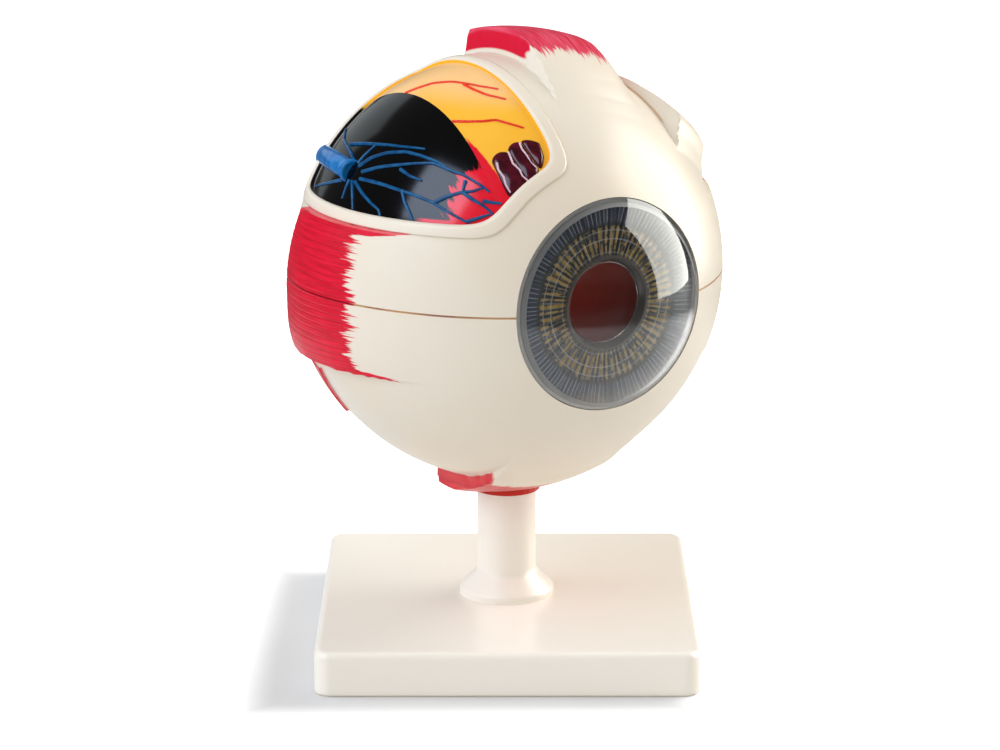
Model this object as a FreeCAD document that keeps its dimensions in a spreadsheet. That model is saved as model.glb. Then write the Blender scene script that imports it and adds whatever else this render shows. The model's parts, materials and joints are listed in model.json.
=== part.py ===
import FreeCAD, Part
import math
import os
import Sketcher

# Take-apart model of the right eye, five times life size, on a square stand.
# Row frame: +Z up, origin at the middle of the base's underside, on the post's axis.
# The pieces of the eyeball are drawn in the eye's own frame, with its origin at the
# ball's centre: +Y is the optical axis towards the front, +X is temporal, +Z is up.
# Their placement then turns them on the post and lifts them to the ball's height.

doc = FreeCAD.newDocument("EyeModel")
sheet = doc.addObject("Spreadsheet::Sheet", "Dims")

SIZES = [
    ("base_width", 106, "stand: left to right"),
    ("base_depth", 108, "stand: front to back"),
    ("base_thickness", 12.6, "stand: height of the plate"),
    ("base_corner", 4.5, "stand: radius of the upright corners"),
    ("base_round", 2, "stand: radius of the top edge"),
    ("base_break", 0.6, "stand: chamfer of the bottom edge"),
    ("insert_wall", 2, "threaded insert: wall round the stud"),
    ("insert_floor", 3, "threaded insert: plate left below it"),
    ("insert_end", 1, "threaded insert: thickness of its closed end"),
    ("stud_radius", 4, "stud: radius"),
    ("stud_in_post", 14, "stud: length inside the post"),
    ("post_length", 30.2, "post: height above the plate"),
    ("post_radius", 8.4, "post: radius of the shank"),
    ("foot_radius", 13.5, "post: radius of the flared foot"),
    ("foot_rim", 1.8, "post: height of the foot's rim"),
    ("foot_height", 6.8, "post: height of the whole flare"),
    ("foot_round", 1.2, "post: radius of the rim's top edge"),
    ("foot_blend", 3, "post: radius between flare and shank"),
    ("pin_radius", 3, "swivel pin: radius"),
    ("pin_in_post", 12, "swivel pin: length inside the post"),
    ("pin_short", 1.1, "swivel pin: how far it ends below the bush's top"),
    ("bush_flange", 1, "bush: thickness of the flange"),
    ("bush_wall", 1.92, "bush: wall of the sleeve"),
    ("socket_spare", 0.6, "eyeball: spare depth of the socket above the bush"),
    ("socket_floor", 1.5, "eyeball: wall left between the socket and the hollow"),
    ("seat_radius", 9.5, "eyeball: radius of the flat seat under the ball"),
    ("seat_reach", 5, "eyeball: how far the flat seat is below the ball"),
    ("run_gap", 0.08, "radial clearance of a pin in a running hole"),
    ("fixed_gap", 0.05, "radial clearance of a pressed pin"),
    ("eye_turn", 31.5, "eyeball: turn of the optical axis from the base, degrees"),
    ("ball_radius", 60, "sclera: outer radius"),
    ("sclera_wall", 4.5, "sclera: wall"),
    ("shell_gap", 0.4, "clearance between nested shells"),
    ("choroid_wall", 3, "choroid: wall"),
    ("limbus_radius", 29.25, "sclera: radius of the front opening"),
    ("edge_gap", 0.25, "clearance of a disc in the front opening"),
    ("cornea_curve", 39, "cornea: outer radius of curvature"),
    ("cornea_wall", 1.6, "cornea: wall"),
    ("cornea_skirt", 1, "cornea: depth of its edge in the opening"),
    ("iris_depth", 1.187, "iris: its front face behind the edge of the opening"),
    ("iris_thickness", 1.7, "iris: thickness of the disc"),
    ("pupil_radius", 10.75, "iris: radius of the pupil at the back"),
    ("pupil_bevel", 1.45, "iris: how much wider the pupil is in front"),
    ("stack_gap", 0.3, "gap between the iris and what is behind it"),
    ("lens_radius", 22, "lens: radius"),
    ("lens_clearance", 0.6, "choroid: its front opening round the lens"),
    ("lens_setback", 6.5, "lens: back of the iris to the middle of its rim"),
    ("lens_rim", 2.4, "lens: thickness of the rim"),
    ("lens_front_curve", 50, "lens: radius of the front surface"),
    ("lens_rear_curve", 30, "lens: radius of the rear surface"),
    ("vitreous_setback", 5, "vitreous: back of the iris to its flat front"),
    ("vitreous_wall", 2, "vitreous: wall of the hollow clear moulding"),
    ("rectus_back", 21, "straight muscles: how far they run behind the equator"),
    ("superior_rectus_rise", 7.1, "superior rectus: height above the sclera"),
    ("superior_rectus_width", 27, "superior rectus: width"),
    ("superior_rectus_front", 8, "superior rectus: front end ahead of the equator"),
    ("superior_rectus_tilt", -11.5, "superior rectus: centre line from the top, degrees"),
    ("inferior_rectus_rise", 5, "inferior rectus: height above the sclera"),
    ("inferior_rectus_width", 39, "inferior rectus: width"),
    ("inferior_rectus_front", 18, "inferior rectus: front end ahead of the equator"),
    ("inferior_rectus_back", 4, "inferior rectus: how far it runs behind the equator"),
    ("inferior_rectus_tilt", 180, "inferior rectus: centre line from the top, degrees"),
    ("lateral_rectus_rise", 2.6, "lateral rectus: height above the sclera"),
    ("lateral_rectus_width", 41, "lateral rectus: width"),
    ("lateral_rectus_front", 12, "lateral rectus: front end ahead of the equator"),
    ("medial_rectus_rise", 2.2, "medial rectus: height above the sclera"),
    ("medial_rectus_width", 44, "medial rectus: width"),
    ("medial_rectus_front", 44, "medial rectus: front end ahead of the equator"),
    ("superior_oblique_rise", 4.4, "superior oblique: height above the sclera"),
    ("superior_oblique_width", 19, "superior oblique: width"),
    ("superior_oblique_front", 30, "superior oblique: its middle to its front end"),
    ("superior_oblique_back", 14, "superior oblique: its middle to its back end"),
    ("superior_oblique_tilt", -37.4, "superior oblique: middle from the top, degrees"),
    ("superior_oblique_spin", 24.7, "superior oblique: turn of its run, degrees"),
    ("inferior_oblique_rise", 2.6, "inferior oblique: height above the sclera"),
    ("inferior_oblique_width", 14, "inferior oblique: width"),
    ("inferior_oblique_front", -12, "inferior oblique: front end from the equator"),
    ("inferior_oblique_back", 44, "inferior oblique: how far it runs behind the equator"),
    ("inferior_oblique_tilt", 130, "inferior oblique: centre line from the top, degrees"),
    ("nerve_radius", 10, "optic nerve: radius"),
    ("nerve_stump", 14, "optic nerve: length of the stump outside the ball"),
    ("nerve_turn", 15, "optic nerve: turn from straight back towards the nose, degrees"),
    ("nerve_gap", 0.3, "clearance round the optic nerve"),
    ("rim_pin_radius", 1.2, "rim pins: radius"),
    ("rim_pin_depth", 5, "rim pins: length in the lower rim"),
    ("rim_pin_reach", 4, "rim pins: length in the upper rim"),
    ("rim_pin_spare", 0.5, "rim pins: spare depth of the upper holes"),
    ("window_bottom", 23.5, "window: lower edge above the seam"),
    ("window_side", 11.5, "window: upper edge from the ball's middle plane"),
    ("window_back", 27, "window: back edge behind the equator"),
    ("window_front", 40.15, "window: radius of its front edge round the optical axis"),
    ("window_lip", 4, "window: width of the raised lip"),
    ("window_lip_rise", 1, "window: height of the raised lip"),
    ("window_recess", 3, "window: depth of the recess floor in the sclera"),
    ("inlay_gap", 0.2, "window: gap between an inlay and its neighbours"),
    ("choroid_sink", 0.7, "window: choroid inlay's face below the sclera's"),
    ("choroid_side", 30, "window: choroid edge from the ball's middle plane"),
    ("retina_sink", 1.1, "window: retina inlay's face below the sclera's"),
    ("ciliary_sink", 0.2, "window: ciliary inlay's face below the sclera's"),
    ("ciliary_side", 28, "window: ciliary inlay's edge from the ball's middle plane"),
    ("ciliary_radius", 47.3, "window: outer radius of the ciliary inlay"),
    ("vein_radius", 2.65, "vortex vein: radius of the trunk"),
    ("vein_hub_radius", 3.3, "vortex vein: radius of the hub"),
    ("vein_sink", 1.8, "vortex vein: its middle below the sclera's surface"),
    ("vein_hub_lift", 32.1, "vortex vein: height of the hub above the seam, degrees"),
    ("vein_length", 22, "vortex vein: length of the trunk"),
    ("vein_spin", -9, "vortex vein: turn of the trunk from straight back, degrees"),
    ("vein_dip_tilt", 10, "vortex vein: dip of the trunk towards its end, degrees"),
]

# Sizes that follow from the ones above.
TIED = [
    ("insert_radius", "stud_radius + insert_wall", "threaded insert: outer radius"),
    ("insert_depth", "base_thickness - insert_floor", "threaded insert: depth in the plate"),
    ("stud_in_base", "insert_depth - insert_end", "stud: length below the plate's top"),
    ("post_top", "base_thickness + post_length", "post: height of its top"),
    ("bush_radius", "pin_radius + run_gap + bush_wall", "bush: outer radius of the sleeve"),
    ("socket_depth", "seat_reach + sclera_wall - socket_floor", "eyeball: depth of the socket"),
    ("bush_sleeve", "socket_depth - socket_spare", "bush: length of the sleeve"),
    ("pin_reach", "bush_flange + bush_sleeve - pin_short", "swivel pin: length above the post"),
    ("seat_drop", "ball_radius + seat_reach", "eyeball: ball centre down to the flat seat"),
    ("ball_height", "post_top + bush_flange + seat_drop", "eyeball: height of the ball's centre"),
    ("limbus_plane", "sqrt(ball_radius ^ 2 - limbus_radius ^ 2)", "front opening: its edge"),
    ("iris_front", "limbus_plane - iris_depth", "iris: ball centre to its front face"),
    ("iris_back", "iris_front - iris_thickness", "iris: ball centre to its back"),
    ("pupil_rim_radius", "pupil_radius + pupil_bevel", "iris: radius of the pupil in front"),
    ("choroid_bore", "lens_radius + lens_clearance", "choroid: radius of the front opening"),
    ("lens_plane", "iris_back - lens_setback", "lens: ball centre to the middle of its rim"),
    ("vitreous_front", "iris_back - vitreous_setback", "vitreous: ball centre to its front"),
    ("nerve_end", "ball_radius + nerve_stump", "optic nerve: ball centre to its cut end"),
    ("window_floor", "ball_radius - window_recess", "window: radius of the recess floor"),
    ("choroid_face", "ball_radius - choroid_sink", "window: radius of the choroid inlay"),
    ("retina_face", "ball_radius - retina_sink", "window: radius of the retina inlay"),
    ("ciliary_face", "ball_radius - ciliary_sink", "window: radius of the ciliary inlay"),
    ("vein_depth", "ball_radius - vein_sink", "vortex vein: ball that its middle lies on"),
]

for row, (alias, value, note) in enumerate(SIZES + TIED, start=1):
    sheet.set("A%d" % row, note)
    sheet.set("B%d" % row, "=" + value if isinstance(value, str) else str(value))
    sheet.setAlias("B%d" % row, alias)
doc.recompute()

X_AXIS = FreeCAD.Vector(1, 0, 0)
Y_AXIS = FreeCAD.Vector(0, 1, 0)
Z_AXIS = FreeCAD.Vector(0, 0, 1)

# Sizes that several pieces share, written as expressions of the sheet.
POST_TOP = "Dims.post_top"
INNER_RADIUS = "(Dims.ball_radius - Dims.sclera_wall)"
CHOROID_RADIUS = "(Dims.ball_radius - Dims.sclera_wall - Dims.shell_gap)"
CHOROID_INNER = "(Dims.ball_radius - Dims.sclera_wall - Dims.shell_gap - Dims.choroid_wall)"
VITREOUS_RADIUS = "(Dims.ball_radius - Dims.sclera_wall - 2 * Dims.shell_gap - Dims.choroid_wall)"
LIMBUS_PLANE = "Dims.limbus_plane"
IRIS_BACK = "Dims.iris_back"
DISC_RADIUS = "(Dims.limbus_radius - Dims.edge_gap)"
BIG = "(3 * Dims.ball_radius)"

finished = []


def size(alias):
    """The value of one named size."""
    return float(sheet.get(alias))


def bind(obj, expressions):
    """Ties properties of an object to the sheet."""
    for name, expression in expressions.items():
        obj.setExpression(name, expression)
    return obj


def solid(kind, name, sizes, place=None, turn=None):
    """A Part primitive with bound sizes, at a bound place, turned about one axis."""
    obj = doc.addObject("Part::" + kind, name)
    if turn:
        obj.Placement = FreeCAD.Placement(FreeCAD.Vector(), FreeCAD.Rotation(*turn))
    bind(obj, sizes)
    for axis, expression in (place or {}).items():
        obj.setExpression("Placement.Base." + axis, expression)
    return obj


def ball(name, radius, place=None):
    """A sphere, centred on the eye unless a place is given."""
    return solid("Sphere", name, {"Radius": radius}, place)


def rod(name, radius, start, end):
    """A cylinder along the optical axis, between two distances from the ball's centre."""
    sizes = {"Radius": radius, "Height": "(%s) - (%s)" % (end, start)}
    return solid("Cylinder", name, sizes, {"y": start}, (X_AXIS, -90))


def block(name, low_x, high_x, low_y, high_y, low_z, high_z):
    """A box between two bound corners."""
    sizes = {
        "Length": "(%s) - (%s)" % (high_x, low_x),
        "Width": "(%s) - (%s)" % (high_y, low_y),
        "Height": "(%s) - (%s)" % (high_z, low_z),
    }
    return solid("Box", name, sizes, {"x": low_x, "y": low_y, "z": low_z})


def cut(name, base, tool):
    obj = doc.addObject("Part::Cut", name)
    obj.Base = base
    obj.Tool = tool
    return obj


def common(name, base, tool):
    obj = doc.addObject("Part::Common", name)
    obj.Base = base
    obj.Tool = tool
    return obj


def fuse(name, *shapes):
    obj = doc.addObject("Part::MultiFuse", name)
    obj.Shapes = list(shapes)
    return obj


def finish(obj, label):
    """Names a sub-part. Its label is the name of its file."""
    obj.Label = label
    finished.append(obj)


def finish_in_eye(obj, label):
    """Names a sub-part of the eyeball and puts it on the stand, turned as it stands."""
    obj.Placement = FreeCAD.Placement(FreeCAD.Vector(), FreeCAD.Rotation(Z_AXIS, 180))
    obj.setExpression("Placement.Base.z", "Dims.ball_height")
    obj.setExpression("Placement.Rotation.Angle", "180 + Dims.eye_turn")
    finish(obj, label)


def body(name):
    return doc.addObject("PartDesign::Body", name)


def sketch(owner, name, role):
    """An empty sketch on one of the body's own origin planes."""
    new = owner.newObject("Sketcher::SketchObject", name)
    plane = [f for f in owner.Origin.OriginFeatures if f.Role == role][0]
    new.AttachmentSupport = [(plane, "")]
    new.MapMode = "FlatFace"
    return new


def draw_profile(profile, points):
    """A closed outline whose corners are bound. Each corner is (x, y, x rule, y rule)."""
    count = len(points)
    for index in range(count):
        start = FreeCAD.Vector(points[index][0], points[index][1], 0)
        after = points[(index + 1) % count]
        end = FreeCAD.Vector(after[0], after[1], 0)
        profile.addGeometry(Part.LineSegment(start, end), False)
    for index in range(count):
        following = (index + 1) % count
        profile.addConstraint(Sketcher.Constraint("Coincident", index, 2, following, 1))
    for index, (x_value, y_value, x_rule, y_rule) in enumerate(points):
        for kind, value, rule in (("DistanceX", x_value, x_rule), ("DistanceY", y_value, y_rule)):
            number = profile.addConstraint(Sketcher.Constraint(kind, -1, 1, index, 1, value))
            if rule:
                profile.setExpression("Constraints[%d]" % number, rule)


def circle_edges(shape, radius, height):
    """The names of the circular edges of one radius at one height."""
    names = []
    for number, edge in enumerate(shape.Edges, start=1):
        curve = edge.Curve
        if isinstance(curve, Part.Circle) and abs(curve.Radius - radius) < 0.01:
            if abs(curve.Center.z - height) < 0.01:
                names.append("Edge%d" % number)
    return names


# ---------------------------------------------------------------- the stand
def make_base():
    """A solid square plate with round corners and a blind hole for the threaded insert."""
    plate = body("Plate")
    outline = sketch(plate, "PlateOutline", "XY_Plane")
    half_x = size("base_width") / 2
    half_y = size("base_depth") / 2
    x_rule = "Dims.base_width / 2"
    y_rule = "Dims.base_depth / 2"
    draw_profile(outline, [
        (-half_x, -half_y, "-" + x_rule, "-" + y_rule),
        (half_x, -half_y, x_rule, "-" + y_rule),
        (half_x, half_y, x_rule, y_rule),
        (-half_x, half_y, "-" + x_rule, y_rule),
    ])
    pad = plate.newObject("PartDesign::Pad", "PlatePad")
    pad.Profile = outline
    pad.setExpression("Length", "Dims.base_thickness")
    doc.recompute()

    upright = []
    for number, edge in enumerate(pad.Shape.Edges, start=1):
        if abs(edge.tangentAt(edge.FirstParameter).z) > 0.99:
            upright.append("Edge%d" % number)
    corners = plate.newObject("PartDesign::Fillet", "PlateCorners")
    corners.Base = (pad, upright)
    corners.setExpression("Radius", "Dims.base_corner")
    doc.recompute()

    top = []
    for number, edge in enumerate(corners.Shape.Edges, start=1):
        if edge.BoundBox.ZMin > size("base_thickness") - 0.01:
            top.append("Edge%d" % number)
    rounded = plate.newObject("PartDesign::Fillet", "PlateTopEdge")
    rounded.Base = (corners, top[:1])
    rounded.setExpression("Radius", "Dims.base_round")
    doc.recompute()

    bottom = []
    for number, edge in enumerate(rounded.Shape.Edges, start=1):
        if edge.BoundBox.ZMax < 0.01:
            bottom.append("Edge%d" % number)
    broken = plate.newObject("PartDesign::Chamfer", "PlateBottomEdge")
    broken.Base = (rounded, bottom[:1])
    broken.setExpression("Size", "Dims.base_break")
    doc.recompute()

    top_plane = sketch(plate, "InsertOutline", "XY_Plane")
    top_plane.setExpression("AttachmentOffset.Base.z", "Dims.base_thickness")
    round_hole = Part.Circle(FreeCAD.Vector(), Z_AXIS, size("insert_radius"))
    top_plane.addGeometry(round_hole, False)
    top_plane.addConstraint(Sketcher.Constraint("Coincident", 0, 3, -1, 1))
    number = top_plane.addConstraint(Sketcher.Constraint("Radius", 0, size("insert_radius")))
    top_plane.setExpression("Constraints[%d]" % number, "Dims.insert_radius")
    hole = plate.newObject("PartDesign::Pocket", "InsertHole")
    hole.Profile = top_plane
    hole.setExpression("Length", "Dims.insert_depth")
    doc.recompute()
    removed = broken.Shape.Volume - hole.Shape.Volume
    expected = math.pi * size("insert_radius") ** 2 * size("insert_depth")
    if abs(removed - expected) > 0.01 * expected:
        raise RuntimeError("the insert's hole was not cut to its depth")
    finish(plate, "base_plate")


def make_post():
    """A turned post with a flared foot, bored for the stud below and the pin above."""
    post = body("Post")
    outline = sketch(post, "PostProfile", "XZ_Plane")
    bottom = size("base_thickness")
    rim = bottom + size("foot_rim")
    flare = bottom + size("foot_height")
    top = size("post_top")
    stud_top = bottom + size("stud_in_post")
    pin_foot = top - size("pin_in_post")
    bottom_rule = "Dims.base_thickness"
    stud_rule = "Dims.base_thickness + Dims.stud_in_post"
    pin_rule = POST_TOP + " - Dims.pin_in_post"
    stud_side = "Dims.stud_radius"
    pin_side = "Dims.pin_radius + Dims.fixed_gap"
    draw_profile(outline, [
        (size("stud_radius"), bottom, stud_side, bottom_rule),
        (size("foot_radius"), bottom, "Dims.foot_radius", bottom_rule),
        (size("foot_radius"), rim, "Dims.foot_radius", bottom_rule + " + Dims.foot_rim"),
        (size("post_radius"), flare, "Dims.post_radius", bottom_rule + " + Dims.foot_height"),
        (size("post_radius"), top, "Dims.post_radius", POST_TOP),
        (size("pin_radius"), top, pin_side, POST_TOP),
        (size("pin_radius"), pin_foot, pin_side, pin_rule),
        (0, pin_foot, None, pin_rule),
        (0, stud_top, None, stud_rule),
        (size("stud_radius"), stud_top, stud_side, stud_rule),
    ])
    turned = post.newObject("PartDesign::Revolution", "PostTurned")
    turned.Profile = outline
    turned.ReferenceAxis = (outline, ["V_Axis"])
    turned.Angle = 360
    doc.recompute()
    rim_edge = circle_edges(turned.Shape, size("foot_radius"), rim)
    soft_rim = post.newObject("PartDesign::Fillet", "PostRim")
    soft_rim.Base = (turned, rim_edge)
    soft_rim.setExpression("Radius", "Dims.foot_round")
    doc.recompute()
    neck_edge = circle_edges(soft_rim.Shape, size("post_radius"), flare)
    neck = post.newObject("PartDesign::Fillet", "PostNeck")
    neck.Base = (soft_rim, neck_edge)
    neck.setExpression("Radius", "Dims.foot_blend")
    finish(post, "support_post")


def make_stand_hardware():
    """The brass insert, the stud that joins plate and post, the pin and its bush."""
    insert_low = "Dims.base_thickness - Dims.insert_depth"
    outer = solid("Cylinder", "InsertOuter",
                  {"Radius": "Dims.insert_radius", "Height": "Dims.insert_depth"},
                  {"z": insert_low})
    bore = solid("Cylinder", "InsertBore",
                 {"Radius": "Dims.stud_radius", "Height": "Dims.stud_in_base"},
                 {"z": "Dims.base_thickness - Dims.stud_in_base"})
    finish(cut("Insert", outer, bore), "base_insert")

    stud = solid("Cylinder", "Stud",
                 {"Radius": "Dims.stud_radius", "Height": "Dims.stud_in_base + Dims.stud_in_post"},
                 {"z": "Dims.base_thickness - Dims.stud_in_base"})
    finish(stud, "post_stud")

    pin = solid("Cylinder", "Pin",
                {"Radius": "Dims.pin_radius", "Height": "Dims.pin_in_post + Dims.pin_reach"},
                {"z": POST_TOP + " - Dims.pin_in_post"})
    finish(pin, "swivel_pin")

    flange = solid("Cylinder", "BushFlange",
                   {"Radius": "Dims.post_radius", "Height": "Dims.bush_flange"},
                   {"z": POST_TOP})
    sleeve = solid("Cylinder", "BushSleeve",
                   {"Radius": "Dims.bush_radius", "Height": "Dims.bush_flange + Dims.bush_sleeve"},
                   {"z": POST_TOP})
    passage = solid("Cylinder", "BushBore",
                    {"Radius": "Dims.pin_radius + Dims.run_gap",
                     "Height": "Dims.bush_flange + Dims.bush_sleeve"},
                    {"z": POST_TOP})
    finish(cut("Bush", fuse("BushOuter", flange, sleeve), passage), "socket_bush")


# ---------------------------------------------------------------- the sclera
def make_muscle(name, key, front, back, spin=None):
    """A muscle stump: a strip of a larger ball, drawn on top and tilted into place."""
    rise = ball(name + "Ball", "Dims.ball_radius + Dims.%s_rise" % key)
    half = "Dims.%s_width / 2" % key
    strip = block(name + "Strip", "-" + half, half, "-(%s)" % back, front, "0", BIG)
    stump = common(name, rise, strip)
    turn = FreeCAD.Rotation(Y_AXIS, size(key + "_tilt"))
    if spin:
        turn = turn.multiply(FreeCAD.Rotation(Z_AXIS, size(spin)))
    stump.Placement = FreeCAD.Placement(FreeCAD.Vector(), turn)
    return stump


def make_side_muscle(name, key, side):
    """A muscle stump on the temporal or nasal side, level with the seam."""
    rise = ball(name + "Ball", "Dims.ball_radius + Dims.%s_rise" % key)
    half = "Dims.%s_width / 2" % key
    low_x, high_x = ("0", BIG) if side > 0 else ("-" + BIG, "0")
    front = "Dims.%s_front" % key
    strip = block(name + "Strip", low_x, high_x, "-Dims.rectus_back", front, "-" + half, half)
    return common(name, rise, strip)


def make_window(name, gap):
    """The window's prism: past four edges, and outside a ring round the optical axis."""
    frame = block(name + "Frame", "Dims.window_side + (%s)" % gap, BIG,
                  "-Dims.window_back + (%s)" % gap, BIG,
                  "Dims.window_bottom + (%s)" % gap, BIG)
    ring = rod(name + "Ring", "Dims.window_front + (%s)" % gap, "-" + BIG, BIG)
    return cut(name, frame, ring)


def make_rim_holes(name, radius, low, high):
    """Four upright holes or pins, spread round the middle of the sclera's wall."""
    holes = []
    for index, angle in enumerate((0, 180, 225, 305)):
        hole = solid("Cylinder", "%s%d" % (name, index + 1),
                     {"Radius": radius, "Height": "(%s) - (%s)" % (high, low)},
                     {"x": "(Dims.ball_radius - Dims.sclera_wall / 2) * cos(%d)" % angle,
                      "y": "(Dims.ball_radius - Dims.sclera_wall / 2) * sin(%d)" % angle,
                      "z": low})
        holes.append(hole)
    return fuse(name, *holes)


def make_nerve(name, radius, end):
    """A round bar along the optic nerve, which leaves the back towards the nose."""
    turned = common(name, rod(name + "Bar", radius, "Dims.ball_radius / 2", BIG),
                    ball(name + "End", end))
    turned.Placement = FreeCAD.Placement(FreeCAD.Vector(), FreeCAD.Rotation(Z_AXIS, 180))
    turned.setExpression("Placement.Rotation.Angle", "180 - Dims.nerve_turn")
    return turned


def make_sclera():
    """Two half shells with the muscle stumps moulded on, and a window in the upper one."""
    muscles_above = [
        make_muscle("SuperiorRectus", "superior_rectus", "Dims.superior_rectus_front",
                    "Dims.rectus_back"),
        make_muscle("SuperiorOblique", "superior_oblique", "Dims.superior_oblique_front",
                    "Dims.superior_oblique_back", "superior_oblique_spin"),
    ]
    muscles_below = [
        make_muscle("InferiorRectus", "inferior_rectus", "Dims.inferior_rectus_front",
                    "Dims.inferior_rectus_back"),
        make_muscle("InferiorOblique", "inferior_oblique", "Dims.inferior_oblique_front",
                    "Dims.inferior_oblique_back"),
    ]
    muscles_both = [
        make_side_muscle("LateralRectus", "lateral_rectus", 1),
        make_side_muscle("MedialRectus", "medial_rectus", -1),
    ]
    outer = ball("ScleraBall", "Dims.ball_radius")
    inner = ball("ScleraInner", INNER_RADIUS)
    opening = rod("FrontOpening", "Dims.limbus_radius", "0", BIG)
    nerve_hole = make_nerve("NerveHole", "Dims.nerve_radius + Dims.nerve_gap", "2 * Dims.nerve_end")
    hollow = fuse("EyeHollow", inner, opening, nerve_hole)

    lip_ball = ball("LipBall", "Dims.ball_radius + Dims.window_lip_rise")
    lip = common("WindowLip", lip_ball, make_window("LipWindow", "-Dims.window_lip"))
    above = block("AboveSeam", "-" + BIG, BIG, "-" + BIG, BIG, "0", BIG)
    below = block("BelowSeam", "-" + BIG, BIG, "-" + BIG, BIG, "-" + BIG, "0")

    recess = cut("WindowRecess", make_window("WindowTool", "0"),
                 ball("RecessFloor", "Dims.window_floor"))
    upper_holes = make_rim_holes("UpperRimHoles", "Dims.rim_pin_radius + Dims.run_gap", "0",
                                 "Dims.rim_pin_reach + Dims.rim_pin_spare")
    upper_block = cut("UpperHollowed", fuse("UpperOuter", outer, lip, *muscles_above, *muscles_both),
                      fuse("UpperTools", hollow, recess, upper_holes))
    finish_in_eye(common("UpperSclera", upper_block, above), "upper_sclera_shell")

    seat = solid("Cylinder", "Seat", {"Radius": "Dims.seat_radius", "Height": "Dims.seat_drop"},
                 {"z": "-Dims.seat_drop"})
    flat = solid("Cylinder", "SeatCut", {"Radius": BIG, "Height": BIG},
                 {"z": "-Dims.seat_drop - " + BIG})
    socket = solid("Cylinder", "Socket",
                   {"Radius": "Dims.bush_radius + Dims.run_gap", "Height": "Dims.socket_depth"},
                   {"z": "-Dims.seat_drop"})
    lower_holes = make_rim_holes("LowerRimHoles", "Dims.rim_pin_radius + Dims.fixed_gap",
                                 "-Dims.rim_pin_depth", "0")
    lower_block = cut("LowerHollowed", fuse("LowerOuter", outer, seat, *muscles_below, *muscles_both),
                      fuse("LowerTools", hollow, flat, socket, lower_holes))
    finish_in_eye(common("LowerSclera", lower_block, below), "lower_sclera_shell")

    pins = make_rim_holes("RimPins", "Dims.rim_pin_radius", "-Dims.rim_pin_depth",
                          "Dims.rim_pin_reach")
    finish_in_eye(pins, "rim_pins")

    nerve_bar = make_nerve("NerveBar", "Dims.nerve_radius", "Dims.nerve_end")
    clear_way = solid("Cylinder", "NerveInner", {"Radius": INNER_RADIUS, "Height": BIG},
                      {"z": "-Dims.ball_radius"})
    finish_in_eye(cut("Nerve", nerve_bar, clear_way), "optic_nerve")


def make_window_inlays():
    """What shows in the window: choroid, retina and ciliary body, set on its floor."""
    field = make_window("InlayField", "Dims.inlay_gap")
    floor = ball("InlayFloor", "Dims.window_floor")

    def layer(name, face):
        return cut(name + "Layer", common(name + "Field", ball(name + "Ball", face), field), floor)

    choroid_part = block("ChoroidPart", "Dims.choroid_side", BIG, "-" + BIG, BIG, "-" + BIG, BIG)
    retina_part = block("RetinaPart", "-" + BIG, "Dims.choroid_side - Dims.inlay_gap",
                        "-" + BIG, BIG, "-" + BIG, BIG)

    def ciliary_part(name, gap):
        bar = rod(name + "Rod", "Dims.ciliary_radius + (%s)" % gap, "0", BIG)
        side = block(name + "Side", "-" + BIG, "Dims.ciliary_side + (%s)" % gap,
                     "-" + BIG, BIG, "-" + BIG, BIG)
        return common(name, bar, side)

    hub = ball("VeinHub", "Dims.vein_hub_radius", {"z": "Dims.vein_depth"})
    trunk = solid("Cylinder", "VeinTrunk",
                  {"Radius": "Dims.vein_radius", "Height": "Dims.vein_length"},
                  {"z": "Dims.vein_depth"}, (X_AXIS, 90 + size("vein_dip_tilt")))
    vein_raw = fuse("VeinRaw", hub, trunk)
    lift = FreeCAD.Rotation(Y_AXIS, 90 - size("vein_hub_lift"))
    vein_raw.Placement = FreeCAD.Placement(
        FreeCAD.Vector(), lift.multiply(FreeCAD.Rotation(Z_AXIS, size("vein_spin"))))
    vein = cut("Vein", common("VeinField", vein_raw, field), floor)

    choroid = common("ChoroidInlayPart", layer("Choroid", "Dims.choroid_face"), choroid_part)
    finish_in_eye(cut("ChoroidInlay", choroid, vein_raw), "choroid_inlay")
    retina = common("RetinaInlayPart", layer("Retina", "Dims.retina_face"), retina_part)
    retina_cut = cut("RetinaInlay", retina, ciliary_part("CiliaryClear", "Dims.inlay_gap"))
    finish_in_eye(retina_cut, "retina_inlay")
    ciliary = common("CiliaryInlay", layer("Ciliary", "Dims.ciliary_face"),
                     ciliary_part("CiliaryPart", "0"))
    finish_in_eye(ciliary, "ciliary_inlay")
    finish_in_eye(vein, "vortex_vein")


# ---------------------------------------------------------------- the clear front
def make_cornea():
    """A clear dome with a short edge that sits in the front opening."""
    edge = LIMBUS_PLANE + " - Dims.cornea_skirt"
    centre = LIMBUS_PLANE + " - sqrt(Dims.cornea_curve ^ 2 - %s ^ 2)" % DISC_RADIUS
    dome = ball("CorneaBall", "Dims.cornea_curve", {"y": centre})
    outside = common("CorneaOutside", dome, rod("CorneaRod", DISC_RADIUS, edge, BIG))
    core = ball("CorneaCore", "Dims.cornea_curve - Dims.cornea_wall", {"y": centre})
    core_rod = rod("CorneaCoreRod", DISC_RADIUS + " - 1.5 * Dims.cornea_wall",
                   IRIS_BACK, BIG)
    inside = common("CorneaInside", core, core_rod)
    finish_in_eye(cut("Cornea", outside, inside), "cornea")


def make_iris():
    """A thin disc behind the cornea. The pupil's edge is bevelled towards the front."""
    disc = rod("IrisDisc", DISC_RADIUS, IRIS_BACK, "Dims.iris_front")
    pupil = solid("Cone", "Pupil",
                  {"Radius1": "Dims.pupil_radius", "Radius2": "Dims.pupil_rim_radius",
                   "Height": "Dims.iris_thickness"},
                  {"y": IRIS_BACK}, (X_AXIS, -90))
    finish_in_eye(cut("Iris", disc, pupil), "iris")


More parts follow.
